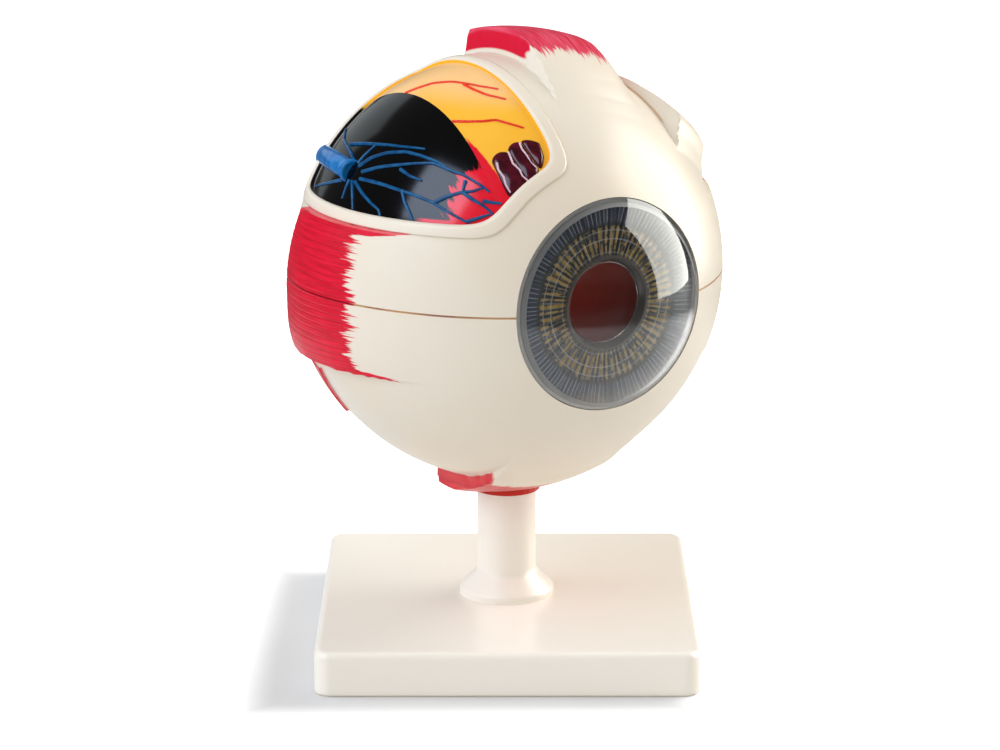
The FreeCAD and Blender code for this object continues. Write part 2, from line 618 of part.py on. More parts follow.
# ---------------------------------------------------------------- the inside
def make_lens_shape(name, gap):
    """A thick lens: two balls and a rod that bound it, each grown by the gap."""
    front_centre = ("Dims.lens_plane + Dims.lens_rim / 2"
                    " - sqrt(Dims.lens_front_curve ^ 2 - Dims.lens_radius ^ 2)")
    rear_centre = ("Dims.lens_plane - Dims.lens_rim / 2"
                   " + sqrt(Dims.lens_rear_curve ^ 2 - Dims.lens_radius ^ 2)")
    front = ball(name + "Front", "Dims.lens_front_curve + (%s)" % gap, {"y": front_centre})
    rear = ball(name + "Rear", "Dims.lens_rear_curve + (%s)" % gap, {"y": rear_centre})
    side = rod(name + "Side", "Dims.lens_radius + (%s)" % gap, "0", BIG)
    return common(name, common(name + "Faces", front, rear), side)


def make_inside():
    """Choroid halves, the hollow vitreous body inside them, and the lens in its dish."""
    choroid = cut("ChoroidShell", ball("ChoroidBall", CHOROID_RADIUS),
                  ball("ChoroidHollow", CHOROID_INNER))
    front = block("ChoroidFront", "-" + BIG, BIG, IRIS_BACK + " - Dims.stack_gap", BIG,
                  "-" + BIG, BIG)
    bore = rod("ChoroidBore", "Dims.choroid_bore", "0", BIG)
    opened = cut("ChoroidOpened", choroid, fuse("ChoroidTools", front, bore))
    above = block("ChoroidAbove", "-" + BIG, BIG, "-" + BIG, BIG, "0", BIG)
    below = block("ChoroidBelow", "-" + BIG, BIG, "-" + BIG, BIG, "-" + BIG, "0")
    finish_in_eye(common("UpperChoroid", opened, above), "upper_choroid_shell")
    finish_in_eye(common("LowerChoroid", opened, below), "lower_choroid_shell")

    def vitreous_form(name, wall):
        flat = block(name + "Flat", "-" + BIG, BIG, "Dims.vitreous_front - (%s)" % wall, BIG,
                     "-" + BIG, BIG)
        dish = make_lens_shape(name + "Dish", "Dims.stack_gap + (%s)" % wall)
        round_part = ball(name + "Ball", VITREOUS_RADIUS + " - (%s)" % wall)
        return cut(name, round_part, fuse(name + "Tools", flat, dish))

    vitreous = cut("Vitreous", vitreous_form("VitreousOuter", "0"),
                   vitreous_form("VitreousInner", "Dims.vitreous_wall"))
    finish_in_eye(vitreous, "vitreous_body")
    finish_in_eye(make_lens_shape("Lens", "0"), "lens")


make_base()
make_post()
make_stand_hardware()
make_sclera()
make_window_inlays()
make_cornea()
make_iris()
make_inside()
doc.recompute()

for obj in doc.Objects:
    if "Invalid" in obj.State or "Error" in obj.State:
        raise RuntimeError("%s (%s) did not compute: %s" % (obj.Name, obj.Label, obj.State))
for obj in finished:
    if obj.Shape.isNull() or not obj.Shape.isValid():
        raise RuntimeError("%s has no valid shape" % obj.Label)

os.makedirs("parts", exist_ok=True)
for obj in finished:
    obj.Shape.exportStep("parts/%s.step" % obj.Label)
    box = obj.Shape.BoundBox
    print("%-20s solids %d  volume %9.1f  z %7.2f to %7.2f"
          % (obj.Label, len(obj.Shape.Solids), obj.Shape.Volume, box.ZMin, box.ZMax))
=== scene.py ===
"""Looks of the take-apart model of the right eye, on its square stand.

The eyeball's pieces are shaped in the eye's own frame: origin at the ball's centre, +Y out
through the pupil, +X temporal, +Z up. Sizes are in millimetres until a piece is finished,
when it is scaled to metres, turned with the eye and lifted onto the stand.
"""
import contextlib
import json
import math

import bpy
import numpy as np
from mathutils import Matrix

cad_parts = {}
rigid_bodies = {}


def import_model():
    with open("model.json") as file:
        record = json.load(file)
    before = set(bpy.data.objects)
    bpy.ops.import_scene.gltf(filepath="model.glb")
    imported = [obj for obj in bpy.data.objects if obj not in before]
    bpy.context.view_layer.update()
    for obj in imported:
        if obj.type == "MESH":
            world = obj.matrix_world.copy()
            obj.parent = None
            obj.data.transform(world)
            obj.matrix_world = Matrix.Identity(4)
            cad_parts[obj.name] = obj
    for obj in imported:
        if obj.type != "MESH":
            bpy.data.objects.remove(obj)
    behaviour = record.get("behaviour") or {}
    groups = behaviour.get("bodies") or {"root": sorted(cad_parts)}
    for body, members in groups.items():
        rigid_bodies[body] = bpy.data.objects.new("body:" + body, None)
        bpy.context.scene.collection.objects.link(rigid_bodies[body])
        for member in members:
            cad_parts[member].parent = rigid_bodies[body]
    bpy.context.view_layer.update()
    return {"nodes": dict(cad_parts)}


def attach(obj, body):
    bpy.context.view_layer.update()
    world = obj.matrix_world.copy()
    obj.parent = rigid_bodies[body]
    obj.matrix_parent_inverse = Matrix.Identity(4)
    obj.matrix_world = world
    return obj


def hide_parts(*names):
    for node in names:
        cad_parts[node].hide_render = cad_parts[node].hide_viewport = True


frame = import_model()
scene = bpy.context.scene

# ------------------------------------------------------------------ sizes, mm and degrees
MM = 0.001
BALL = 60.0
BALL_HEIGHT = 108.8
EYE_TURN = 31.5
SHELL_INNER = 55.5
LIMBUS = 29.25
LIMBUS_PLANE = math.sqrt(BALL ** 2 - LIMBUS ** 2)
RECESS_FLOOR = 57.0
CHOROID_FACE = 59.3
RETINA_SKIN = 59.22
DISC = 29.0
CORNEA_CURVE = 39.0
CORNEA_WALL = 1.6
IRIS_FRONT = 51.2
IRIS_THICK = 1.7
PUPIL_BACK = 10.75
PUPIL_FRONT = 12.2
NERVE_RADIUS = 10.0
NERVE_END = 74.0
NERVE_TURN = 15.0
SEAT_RADIUS = 9.5
SEAT_DROP = 65.0
SOCKET_RADIUS = 5.08
SOCKET_DEPTH = 8.0
SEAM_HEIGHT = 0.28
SEAM_DEPTH = 0.32
DOUBLES = 0.002  # points nearer to each other than this are one

# Muscle stumps. tilt: centre line from the top towards temporal; spin: turn of its run;
# rise: (place along its run, height) pairs; walls: sharp flat sides, each (share across, share
# along, distance); fade: soft sides, each (from, to) across; paint: where the red ends ahead;
# ragged: how far its brush strokes reach; edges: how much further they reach along each side;
# back: where the red ends behind, and how that line leans; wall: which side wall gets a tone of
# painted light or shade (lighter salmon on the lit top wall of the lateral rectus, deeper red on
# the superior rectus's wall), from where across, and how high its foot stays bare; swell: where
# across it stands higher, and by what share; crease: a tinted line at a wall's foot, painted shade
# beside the superior oblique.
MUSCLES = {
    "superior_rectus": dict(
        tilt=-11.5, spin=0, walls=((1, 0, 13), (0, -1, 20.2)), fade=(-9, -20), paint=13.5,
        rise=((-30, 7), (0, 7), (6, 6.6), (15, 4.4), (23, 1.9), (29, 0.5), (34, 0)),
        ragged=6, edges=(0, -3), low=-19, high=13.1, back=(-20.2, 0),
        # its wall's deeper red is painted shade
        wall=(1, 11.75, 1.1, (214, 6, 48)), tones=((214, 8, 58), (232, 92, 116))),
    "inferior_rectus": dict(
        tilt=180, spin=0, walls=((-1, 0, 19.5), (0, -1, 6)), fade=(16, 27), paint=20,
        rise=((-8, 5), (3.3, 5), (6, 4.3), (19, 2.7), (25, 2), (29, 1), (36, 0.2), (40, 0)),
        ragged=1.5, edges=(4, 0), low=-19.6, high=25, back=(-6, 0),
        tones=((212, 26, 42), (226, 58, 62))),
    "lateral_rectus": dict(
        tilt=90, spin=0, walls=((1, 0, 20.5), (-1, 0, 20.5), (-0.28, -1, 20.7)), fade=None,
        rise=((-30, 2.5), (-8, 2.5), (6, 1.9), (20, 0.7), (27, 0.25), (34, 0)),
        swell=(4, 20, 0.5), paint=14, ragged=6.5, edges=(15, 12), low=-20.6, high=20.6,
        # its top wall's lighter salmon is painted light
        back=(-20.7, -0.28), wall=(-1, 19.75, -9, (228, 96, 100)),
        tones=((200, 0, 34), (226, 8, 50))),
    "medial_rectus": dict(
        tilt=-90, spin=0, walls=((1, 0, 22), (-1, 0, 22), (0, -1, 22.5)), fade=None,
        rise=((-30, 2.2), (8, 2.2), (24, 1.1), (36, 0.4), (44, 0)), paint=19, ragged=5,
        edges=(0, 0), low=-22, high=22, back=(-22.5, 0), tones=((204, 4, 40), (230, 40, 74))),
    "superior_oblique": dict(
        tilt=-37.4, spin=24.7, walls=((1, 0, 9.5), (-1, 0, 9.5), (0, -1, 14)), fade=None,
        rise=((-20, 1.5), (3, 1.5), (14, 3), (25.5, 5), (27, 4.6), (30, 2), (34, 0)), paint=None,
        # its brown crease is painted shade where the tendon's wall meets the ball
        crease=(1, 0, 9.6, 4, 25, (204, 146, 92))),
    "inferior_oblique": dict(
        tilt=122.5, spin=0, fade=None, rise=((-44, 2.4), (-32, 1.2), (-20, 0.9), (0, 0.9)),
        walls=((0, 1, -10.6), (1, 0, 8.2), (-1, 0, 8.2), (0, -1, 44)),
        paint=-10.6, ragged=0.2, edges=(0, 0), low=-8.2, high=8.2, back=(-44, 0),
        crease=(0, 1, -10.4, -14, -6, (70, 140, 142)), tones=((204, 6, 40), (220, 26, 54))),
}
WINDOW_BOTTOM = 23.5
WINDOW_SIDE = 11.5
WINDOW_BACK = 27.0
WINDOW_FRONT = 40.15
WINDOW_CORNER = 8.0
CHOROID_SIDE = 29.9

# Veins and arteries: (degrees round from straight ahead towards temporal, degrees up).
VEINS = [
    [(89.6, 35.5), (96.7, 37.9), (109.6, 39.5), (119.4, 41.3)],
    [(100.4, 39.7), (85.3, 42.2), (72, 43.2), (62, 43.5)],
    [(88.1, 35.8), (87.4, 38.2), (85, 41.9)],
    [(86.8, 35.1), (83, 38.3), (77.2, 40.6), (69.2, 41.9), (62.3, 41.4), (55.9, 40.2),
     (49.6, 37.8), (45.6, 37), (42.2, 35.5), (39, 34), (36.9, 32.5)],
    [(83.9, 33.9), (77.2, 36.3), (69.8, 37.9), (64.1, 38.9), (57.1, 39.7), (51, 38.1)],
    [(68.3, 36.8), (63.8, 35.3), (59.2, 34.5)],
    [(83.2, 32), (74.2, 32), (65.5, 31.1), (60.4, 30.4), (53.7, 28.9), (48.6, 26.7), (43, 24.4)],
    [(64.9, 31.2), (63, 28.3), (60.3, 25.5), (58.9, 23.6)],
    [(53.4, 28.9), (49.9, 30.7), (45.4, 32.2), (41.9, 32.6), (38.4, 33.8)],
    [(44.7, 35.4), (45.1, 32.2)],
    [(45.1, 32.2), (41.6, 30.3), (38.6, 28.9), (35.5, 26.7)],
    [(38.7, 30.1), (35.9, 29.7), (33.1, 29.5)],
    [(43, 24.4), (39.5, 25.6), (36.3, 26.6)],
    [(91.7, 30.3), (99, 28.1), (110, 24.8)],
    [(88.1, 30.9), (88.1, 28.5), (87.8, 25.6)],
    [(86.5, 30.9), (83.8, 27.6), (81.3, 23.7)],
    [(84.9, 30.9), (79.7, 28.5), (74.4, 26.3), (71.3, 25.2), (70, 23.6)],
]
ARTERIES = [
    [(99.5, 59.6), (94.4, 63.2), (88.7, 66.1), (74.8, 68.5), (64.4, 68.6), (49.9, 67.8),
     (37.4, 66.8)],
    [(63.4, 68), (54, 66.2), (43.8, 64.1), (32.2, 62.4)],
    [(56, 53.2), (49, 53.5), (42.2, 53.9), (36.4, 54.5), (30.5, 53.2), (24.5, 51.7)],
]
CILIARY_LINES = [
    [(34.9, 40.6), (34.4, 38.6), (32.6, 36.6), (31.9, 34.4), (30.5, 32.3)],
    [(31.1, 43.8), (30.3, 42.2), (29.6, 40.4), (27.4, 38.6), (26.7, 36.9), (24.9, 35.4)],
    [(26.9, 46.5), (26.2, 44.6), (24.8, 42.9), (23.6, 40.6), (21.8, 39.1)],
]


# ------------------------------------------------------------------ camera, light, stage
CAMERA_LENS = 123.84
CAMERA_AT = (-0.0019, -0.9393, 0.3364)
CAMERA_DIP = 15.45
LAMPS_AIM_AT = 0.1
# name, degrees round from the front, degrees up, distance, width, height, power, tint
LAMPS = (
    ("softbox_right", 114, 25, 1.15, 1.10, 1.15, 11.3, (1, 1, 1)),
    ("panel_left", -70, 35, 1.4, 1.8, 1.6, 17.6, (0.87, 0.97, 1.16)),
    ("front_fill", -15, 25, 1.6, 1.4, 1.0, 3.0, (1, 0.93, 0.78)),
    ("top_back", 165, 55, 1.3, 1.0, 0.6, 2.2, (1, 1, 1)),
    ("card_right", 105.7, 9, 0.781, 0.656, 1.153, 19.0, (1, 1, 0.93)),
    ("card_left", -50, 44, 1.4, 0.75, 0.75, 6.7, (0.86, 1.0, 1.28)),
    ("card_back", -150, 18, 1.4, 0.75, 0.75, 0.8, (0.9, 1.0, 1.05)))
WORLD_LIGHT = 0.48
WORLD_LESS_WHEN_MIRRORED = 0.40
TABLE_GLOW = 0.78
WHITE = (1, 1, 1, 1)


def holder_of(name, data):
    holder = bpy.data.objects.new(name, data)
    scene.collection.objects.link(holder)
    return holder


def studio():
    """The camera, four lamps, three cards that only shiny surfaces mirror, and a white table."""
    lens = bpy.data.cameras.new("camera")
    lens.lens = CAMERA_LENS
    lens.sensor_width = 36
    lens.clip_start = 0.01
    camera = holder_of("camera", lens)
    camera.location = CAMERA_AT
    camera.rotation_euler = (math.radians(90 - CAMERA_DIP), 0, 0)
    scene.camera = camera
    scene.view_settings.view_transform = "Standard"

    for name, round_from_front, up, distance, width, height, power, tint in LAMPS:
        lamp = bpy.data.lights.new(name, "AREA")
        lamp.shape = "RECTANGLE"
        lamp.size, lamp.size_y = width, height
        lamp.energy = power
        lamp.color = tint
        holder = holder_of(name, lamp)
        holder.visible_glossy = name.startswith("card")
        holder.visible_diffuse = not holder.visible_glossy
        holder.visible_transmission = False
        turn, lift = math.radians(round_from_front), math.radians(up)
        holder.location = (distance * math.sin(turn) * math.cos(lift),
                           -distance * math.cos(turn) * math.cos(lift),
                           LAMPS_AIM_AT + distance * math.sin(lift))
        holder.rotation_euler = (math.radians(90 - up), 0, turn)

    world = bpy.data.worlds.new("studio")
    scene.world = world
    world.use_nodes = True
    tree = world.node_tree
    tree.nodes.clear()
    seen, rays = looked_at(tree)
    level = seen.math("MAXIMUM", WORLD_LIGHT - rays["Is Glossy Ray"] * WORLD_LESS_WHEN_MIRRORED)
    tone = blend(seen, (1.0, 0.96, 0.86, 1), WHITE)
    background = node(tree, "Background", {"Color": tone, "Strength": level})
    out = node(tree, "OutputWorld", {"Surface": background.outputs[0]})
    out.is_active_output = True

    deselect()
    bpy.ops.mesh.primitive_circle_add(vertices=96, radius=3.0, fill_type="NGON")
    table = bpy.context.object
    table.name = "table"
    paper, tree, shader = new_material("white_table")
    place = outputs(node(tree, "TexCoord"))["Object"]
    tone = blend(noise(place, 40, 3), (0.72, 0.72, 0.715, 1), (0.75, 0.75, 0.745, 1))
    seen, rays = looked_at(tree)
    # shiny surfaces mirror the table dark beyond 0.28 m: painted shade in its reflections
    far = ramp(far_from(place), 0.28, 0.36) * rays["Is Glossy Ray"]
    # the table turns white a little way out from the square base, and keeps its shadow nearer
    x, y, _ = split(place)
    beside = abs(x + 0.010).math("MAXIMUM", abs(y + 0.005))
    feed(shader, {"Base Color": blend(far, tone, (0.08, 0.08, 0.08, 1)), "Roughness": 0.6,
                  "Emission Color": WHITE,
                  "Emission Strength": seen * ramp(beside, 0.053, 0.072) * TABLE_GLOW})
    table.data.materials.append(paper)


# ------------------------------------------------------------------ node helpers
class Value:
    """A node's output that can be reckoned with: every operation adds a node to its tree."""

    def __init__(self, socket):
        self.socket, self.tree = socket, socket.id_data

    def math(self, operation, *others):
        return Value(node(self.tree, "Math", [self, *others], operation=operation).outputs[0])

    def __add__(self, other):
        return self.math("ADD", other)

    def __sub__(self, other):
        return self.math("SUBTRACT", other)

    def __rsub__(self, other):
        return Value(node(self.tree, "Math", [other, self], operation="SUBTRACT").outputs[0])

    def __mul__(self, other):
        return self.math("MULTIPLY", other)

    def __truediv__(self, other):
        return self.math("DIVIDE", other)

    def __abs__(self):
        return self.math("ABSOLUTE")


def feed(made, inputs):
    """Links or sets a node's inputs, given by name or in their order."""
    for key, value in inputs.items() if isinstance(inputs, dict) else enumerate(inputs):
        value = getattr(value, "socket", value)
        if isinstance(value, bpy.types.NodeSocket):
            made.id_data.links.new(value, made.inputs[key])
        else:
            made.inputs[key].default_value = value


def node(tree, kind, inputs=(), **settings):
    """A new node with its settings, and its inputs linked or set."""
    made = tree.nodes.new("ShaderNode" + kind)
    for key, value in settings.items():
        setattr(made, key, value)
    feed(made, inputs)
    return made


def outputs(made):
    """A node's outputs by name."""
    return {socket.name: Value(socket) for socket in made.outputs}


def blend(factor, a, b):
    """Mixes two colours, each from a node, linear with an alpha, or three figures to 255."""
    a, b = (srgb(*c) if isinstance(c, tuple) and len(c) == 3 else c for c in (a, b))
    return Value(node(factor.tree, "Mix", {0: factor, 6: a, 7: b}, data_type="RGBA").outputs[2])


def ramp(value, start, end):
    """Smoothly 0 at start and 1 at end, which may be the lower one."""
    return Value(node(value.tree, "MapRange", {0: value, 1: start, 2: end},
                      interpolation_type="SMOOTHSTEP").outputs[0])


def noise(place, scale, detail=2, rough=0.5):
    made = node(place.tree, "TexNoise", {"Vector": place, "Scale": float(scale),
                                         "Detail": float(detail), "Roughness": rough})
    return outputs(made)["Fac"]


def stretched(place, scale):
    """The place with each axis scaled by its own factor."""
    return Value(node(place.tree, "VectorMath", [place, scale], operation="MULTIPLY").outputs[0])


def mapped(place, turn, shift=(0, 0, 0)):
    return Value(node(place.tree, "Mapping", {"Vector": place, "Rotation": turn,
                                              "Location": shift}).outputs[0])


def far_from(place, centre=(0, 0, 0)):
    return outputs(node(place.tree, "VectorMath", [place, centre], operation="DISTANCE"))["Value"]


def split(place):
    return [Value(socket) for socket in node(place.tree, "SeparateXYZ", [place]).outputs]


def combined(x, y, z):
    return Value(node(x.tree, "CombineXYZ", [x, y, z]).outputs[0])


def hypot(a, b):
    return (a * a + b * b).math("SQRT")


def new_group(name, inputs, outlets):
    """An empty node group with typed sockets, what it is given, and its end node."""
    group = bpy.data.node_groups.new(name, "ShaderNodeTree")
    for socket, kind, value in inputs:
        made = group.interface.new_socket(socket, in_out="INPUT", socket_type="NodeSocket" + kind)
        made.default_value = value
    for socket, kind in outlets:
        group.interface.new_socket(socket, in_out="OUTPUT", socket_type="NodeSocket" + kind)
    return group, outputs(group.nodes.new("NodeGroupInput")), group.nodes.new("NodeGroupOutput")


def use_group(tree, group, inputs=()):
    return outputs(node(tree, "Group", inputs, node_tree=group))


def looked_at(tree):
    """1 where the camera sees a point, straight or through clear plastic, and the ray's kinds."""
    rays = outputs(node(tree, "LightPath"))
    straight = (rays["Diffuse Depth"] + rays["Glossy Depth"]).math("LESS_THAN", 0.5)
    return rays["Is Camera Ray"].math("MAXIMUM", rays["Is Transmission Ray"] * straight), rays


def new_material(name):
    """A material, with its node tree and its main shader."""
    material = bpy.data.materials.new(name)
    material.use_nodes = True
    tree = material.node_tree
    return material, tree, tree.nodes["Principled BSDF"]


def srgb(red, green, blue):
    """A colour given as it is seen, 0 to 255, in the linear values that nodes take."""
    def linear(value):
        value /= 255
        return value / 12.92 if value <= 0.04045 else ((value + 0.055) / 1.055) ** 2.4
    return (linear(red), linear(green), linear(blue), 1.0)


def darker(tone, share):
    return (*(channel * share for channel in tone[:3]), 1)


# ------------------------------------------------------------------ shared node groups
def make_eye_place():
    """Where a point is in the eye's frame, mm, and the point of the ball below it."""
    group, _, out = new_group("Eye place", [], [("Place", "Vector"), ("On ball", "Vector")])
    seen = outputs(node(group, "TexCoord"))["Object"]
    own = mapped(seen, (0, 0, -math.radians(180 + EYE_TURN)), (0, 0, -BALL_HEIGHT * MM))
    place = stretched(own, (1 / MM,) * 3)
    aim = Value(node(group, "VectorMath", [place], operation="NORMALIZE").outputs[0])
    feed(out, {"Place": place, "On ball": stretched(aim, (BALL,) * 3)})
    return group


def make_muscle_paint():
    """How far a point is inside the red paint of one muscle: 0 outside, 1 inside."""
    group, given, out = new_group("Muscle paint", [
        ("On ball", "Vector", (0, 0, 0)), ("Turn", "Vector", (0, 0, 0)), ("Low side", "Float", -10),
        ("High side", "Float", 10), ("Low reach", "Float", 0), ("High reach", "Float", 0),
        ("Front edge", "Float", 0), ("Back edge", "Float", 0), ("Back lean", "Float", 0),
        ("Ragged", "Float", 5), ("Seed", "Float", 0)],
        [("Mask", "Float"), ("Fibres", "Float"), ("Grooves", "Float")])
    across, along, above = split(mapped(given["On ball"], given["Turn"]))
    seeded = across + given["Seed"]
    strokes = noise(combined(seeded * 0.5, along * 0.04, 0.0), 1.0, 3, 0.6)
    bristles = noise(combined(seeded * 1.6, along * 0.08, 3.0), 1.0, 2, 0.5)
    push = ((bristles - 0.5) * 0.9 + (strokes - 0.5)) * (given["Ragged"] * 2.2)
    from_low = across - given["Low side"]
    from_high = given["High side"] - across
    ahead = given["Front edge"] - along + push
    for gap, reach in ((from_low, given["Low reach"]), (from_high, given["High reach"])):
        ahead = ramp(gap, 3.0, 0.4) * reach + ahead
    back = across * given["Back lean"] + given["Back edge"]
    within = from_low.math("MINIMUM", from_high).math("MINIMUM", along - back)
    mask = ramp(ahead, -1.2, 0.7) * ramp(within, -0.25, 0.15) * ramp(above, 0.0, 1.0)
    wave = ((strokes * 1.2 + across) * (2 * math.pi / 1.75)).math("SINE")
    feed(out, {"Mask": mask, "Fibres": bristles,
               "Grooves": ramp(bristles * 0.6 + wave, -0.1, -0.75)})
    return group


def make_window_depth():
    """How far a point of the ball is inside the window's outline, mm."""
    group, given, out = new_group("Window depth", [("On ball", "Vector", (0, 0, 0))],
                                  [("Depth", "Float")])
    x, y, z = split(given["On ball"])
    depth = z - WINDOW_BOTTOM
    for other in (x - WINDOW_SIDE, y + WINDOW_BACK, hypot(x, z) - WINDOW_FRONT):
        depth = depth.math("SMOOTH_MIN", other, WINDOW_CORNER)
    feed(out, {"Depth": depth})
    return group


def make_moulded():
    """The faint unevenness of moulded and brushed plastic: a height and a roughness."""
    group, given, out = new_group("Moulded surface", [
        ("Place", "Vector", (0, 0, 0)), ("Roughness", "Float", 0.35), ("Spread", "Float", 0.1)],
        [("Height", "Float"), ("Roughness", "Float")])
    wide = noise(given["Place"], 0.055, 2)
    fine = noise(given["Place"], 2.2, 3, 0.6)
    feed(out, {"Height": fine * 0.12 + wide,
               "Roughness": (wide + fine - 1.0) * given["Spread"] + given["Roughness"]})
    return group


EYE_PLACE = make_eye_place()
MUSCLE_PAINT = make_muscle_paint()
WINDOW_DEPTH = make_window_depth()
MOULDED = make_moulded()


# ------------------------------------------------------------------ materials
# A colour rule turns a place, in mm, into a colour and the height of a relief on it.
def plastic(name, colour_rule, rough=0.35, spread=0.12, bump=0.15, shine=0.5, on_stand=False):
    """Coloured plastic, placed in the eye's frame or in the stand's."""
    material, tree, shader = new_material(name)
    place = stand_place(tree) if on_stand else use_group(tree, EYE_PLACE)["Place"]
    surface = use_group(tree, MOULDED, {"Place": place, "Roughness": rough, "Spread": spread})
    colour, relief = colour_rule(place)
    dent = node(tree, "Bump", {"Height": surface["Height"] + relief, "Distance": 0.0003,
                               "Strength": bump})
    feed(shader, {"Base Color": colour, "Roughness": surface["Roughness"],
                  "Normal": dent.outputs[0], "Specular IOR Level": shine})
    return material


def stand_place(tree):
    """Millimetres in the stand's own frame."""
    return stretched(outputs(node(tree, "TexCoord"))["Object"], (1 / MM,) * 3)


def cream_rule(place):
    z = split(place)[2]
    flow = noise(stretched(place, (0.02, 0.05, 0.03)), 1.0, 4)
    colour = blend(flow, (242, 235, 223), (246, 240, 229))
    # the lowest 2 mm, where the plate meets the table, turn darker: painted shade
    return blend(ramp(z, 2.0, 0.0) * 0.25, colour, (205, 192, 168)), 0.0


def coat_rule(place):
    """Ivory with crimson muscles, the window's painted edge and the line of the seam."""
    ball_place = use_group(place.tree, EYE_PLACE)["On ball"]
    x, y, z = split(ball_place)
    distance = far_from(place)
    outside = ramp(distance, 59.1, 59.4)
    proud = distance - BALL
    colour = blend(ramp(noise(place, 0.03, 2), 0.35, 0.65), (231, 221, 205), (231, 219, 201))
    relief, reds = 0.0, 0.0
    for number, muscle in enumerate(MUSCLES.values()):
        turn = (0, -math.radians(muscle["tilt"]), -math.radians(muscle["spin"]))
        across, along, above = split(mapped(ball_place, turn))
        if muscle["paint"] is not None:
            painted = use_group(place.tree, MUSCLE_PAINT, {
                "On ball": ball_place, "Low side": muscle["low"], "High side": muscle["high"],
                "Low reach": muscle["edges"][0], "High reach": muscle["edges"][1],
                "Turn": turn, "Front edge": muscle["paint"], "Back edge": muscle["back"][0],
                "Back lean": muscle["back"][1], "Ragged": muscle["ragged"],
                "Seed": 37.0 * number})
            red = blend(ramp(painted["Fibres"], 0.3, 0.7), *muscle["tones"])
            red = blend(painted["Grooves"] * 0.34, red, (172, 2, 32))
            mask = painted["Mask"] * outside
            # a side wall's own tone is painted light or shade
            if "wall" in muscle:
                side, start, foot, tone = muscle["wall"]
                wall_light_and_shade = ramp(across * side, start - 0.2, start + 0.2)
                red = blend(wall_light_and_shade, red, tone)
                mask = mask * (1.0 - wall_light_and_shade * ramp(proud, foot + 0.3, foot - 0.3))
            colour = blend(mask, colour, red)
            reds = mask.math("MAXIMUM", reds)
            relief = (painted["Grooves"] * -1.2 + painted["Fibres"] * 0.6) * mask + relief
        # a tinted line at a wall's foot: painted shade in the crease beside the superior oblique
        if "crease" in muscle:
            share_across, share_along, place_at, start, end, tone = muscle["crease"]
            off = abs(across * share_across + along * share_along - place_at)
            line = ramp(off, 0.32, 0.1) * ramp(proud, 0.8, 0.4)
            for value, low, high in ((along, start - 1, start + 1), (along, end + 1, end - 1),
                                     (above, 0, 5)):
                line = line * ramp(value, low, high)
            if muscle["paint"] is not None:
                line = line * ramp(abs(across), 7, 5)
            colour = blend(line * 0.6, colour, tone)
    # the round seat on the post is red below, and the paint runs a little up the ball
    ring, below = hypot(x, y), ramp(z, 0.0, -5.0)
    smear = ramp(noise(ball_place, 0.18, 2) * 5.0 + ring, 13.6, 12.2) * below * outside
    colour = blend(smear * 0.8, colour, (226, 84, 70))
    under = ramp(distance, 62.4, 63.0) * ramp(ring, 10.2, 9.8) * below
    colour = blend(under, colour, (198, 34, 10))
    # the window's edge is black beside the choroid, yellow beside the retina and red in front
    depth = use_group(place.tree, WINDOW_DEPTH, {"On ball": ball_place})["Depth"]
    wobble = (noise(place, 0.35, 2) - 0.5) * 0.5
    in_recess = ramp(distance, 60.05, 59.85) * ramp(distance, 56.0, 56.3)
    inside = in_recess * ramp(depth + wobble, -0.12, 0.05)
    wall = blend(ramp(wobble * 4.0 + x, CHOROID_SIDE + 1.0, CHOROID_SIDE + 1.8),
                 (255, 184, 22), (6, 6, 8))
    front = ramp(z, 33.5, 31.5) * ramp(wobble * 6.0 + y, 29.0, 31.0)
    colour = blend(inside, colour, blend(front, wall, (222, 14, 40)))
    near_seam = outside * ramp(abs(z), 0.42, 0.12)
    patches = ramp(noise(place, 0.08, 2), 0.32, 0.62)
    tint = blend(reds, blend(patches, (196, 146, 84), (150, 84, 44)), (150, 4, 28))
    return blend(near_seam * 0.85, colour, tint), relief


def choroid_rule(place):
    """Black, with brush strokes that end on bare red near the window's front edge."""
    _, y, z = split(place)
    streak = mapped(place, (math.radians(40), 0, 0))
    strokes = noise(stretched(streak, (1.1, 0.10, 1.0)), 1.0, 3, 0.6)
    # the paint stops on a line that leans forwards as it comes down, ahead of it all is red
    tongue = ramp(z, 35.4, 37.4) * ramp(z, 43.5, 40.5)
    edge = z * 0.33 + y - (tongue * 3.2 + 43.9)
    red = ramp((strokes - 0.5) * 9.0 + edge, -0.5, 0.5)
    red = red.math("MAXIMUM", ramp(z, 24.9, 24.3) * ramp(y, 28.0, 31.0))
    mottled = blend(noise(place, 0.5, 3), (222, 10, 36), (236, 28, 50))
    return blend(red, (3, 3, 5), mottled), 0.0


def retina_rule(place):
    x, y, z = split(place)
    cloudy = noise(place, 0.09, 3)
    colour = blend(cloudy, (250, 178, 46), (252, 194, 66))
    # the pale peach towards the top and front of the field is a painted highlight
    pale = ramp(cloudy * 14.0 + y, 22.0, -6.0).math("MAXIMUM", ramp(z, 49.0, 56.0))
    colour = blend(pale * 0.75, colour, (250, 205, 150))
    # the corner below the lobes belongs to the red field
    corner = y * 0.2 + (noise(place, 0.5, 2) * 0.8 + x)
    corner = ramp(corner, 34.7, 35.1) * ramp(y, 26.0, 29.0)
    return blend(corner, colour, (226, 14, 40)), 0.0


def patchy(dark, light, scale, between=None, detail=3, rough=0.5):
    """A rule of two tones in soft patches, sharper where between says when they change."""
    def rule(place):
        share = noise(stretched(place, scale), 1.0, detail, rough)
        return blend(ramp(share, *between) if between else share, dark, light), 0.0
    return rule


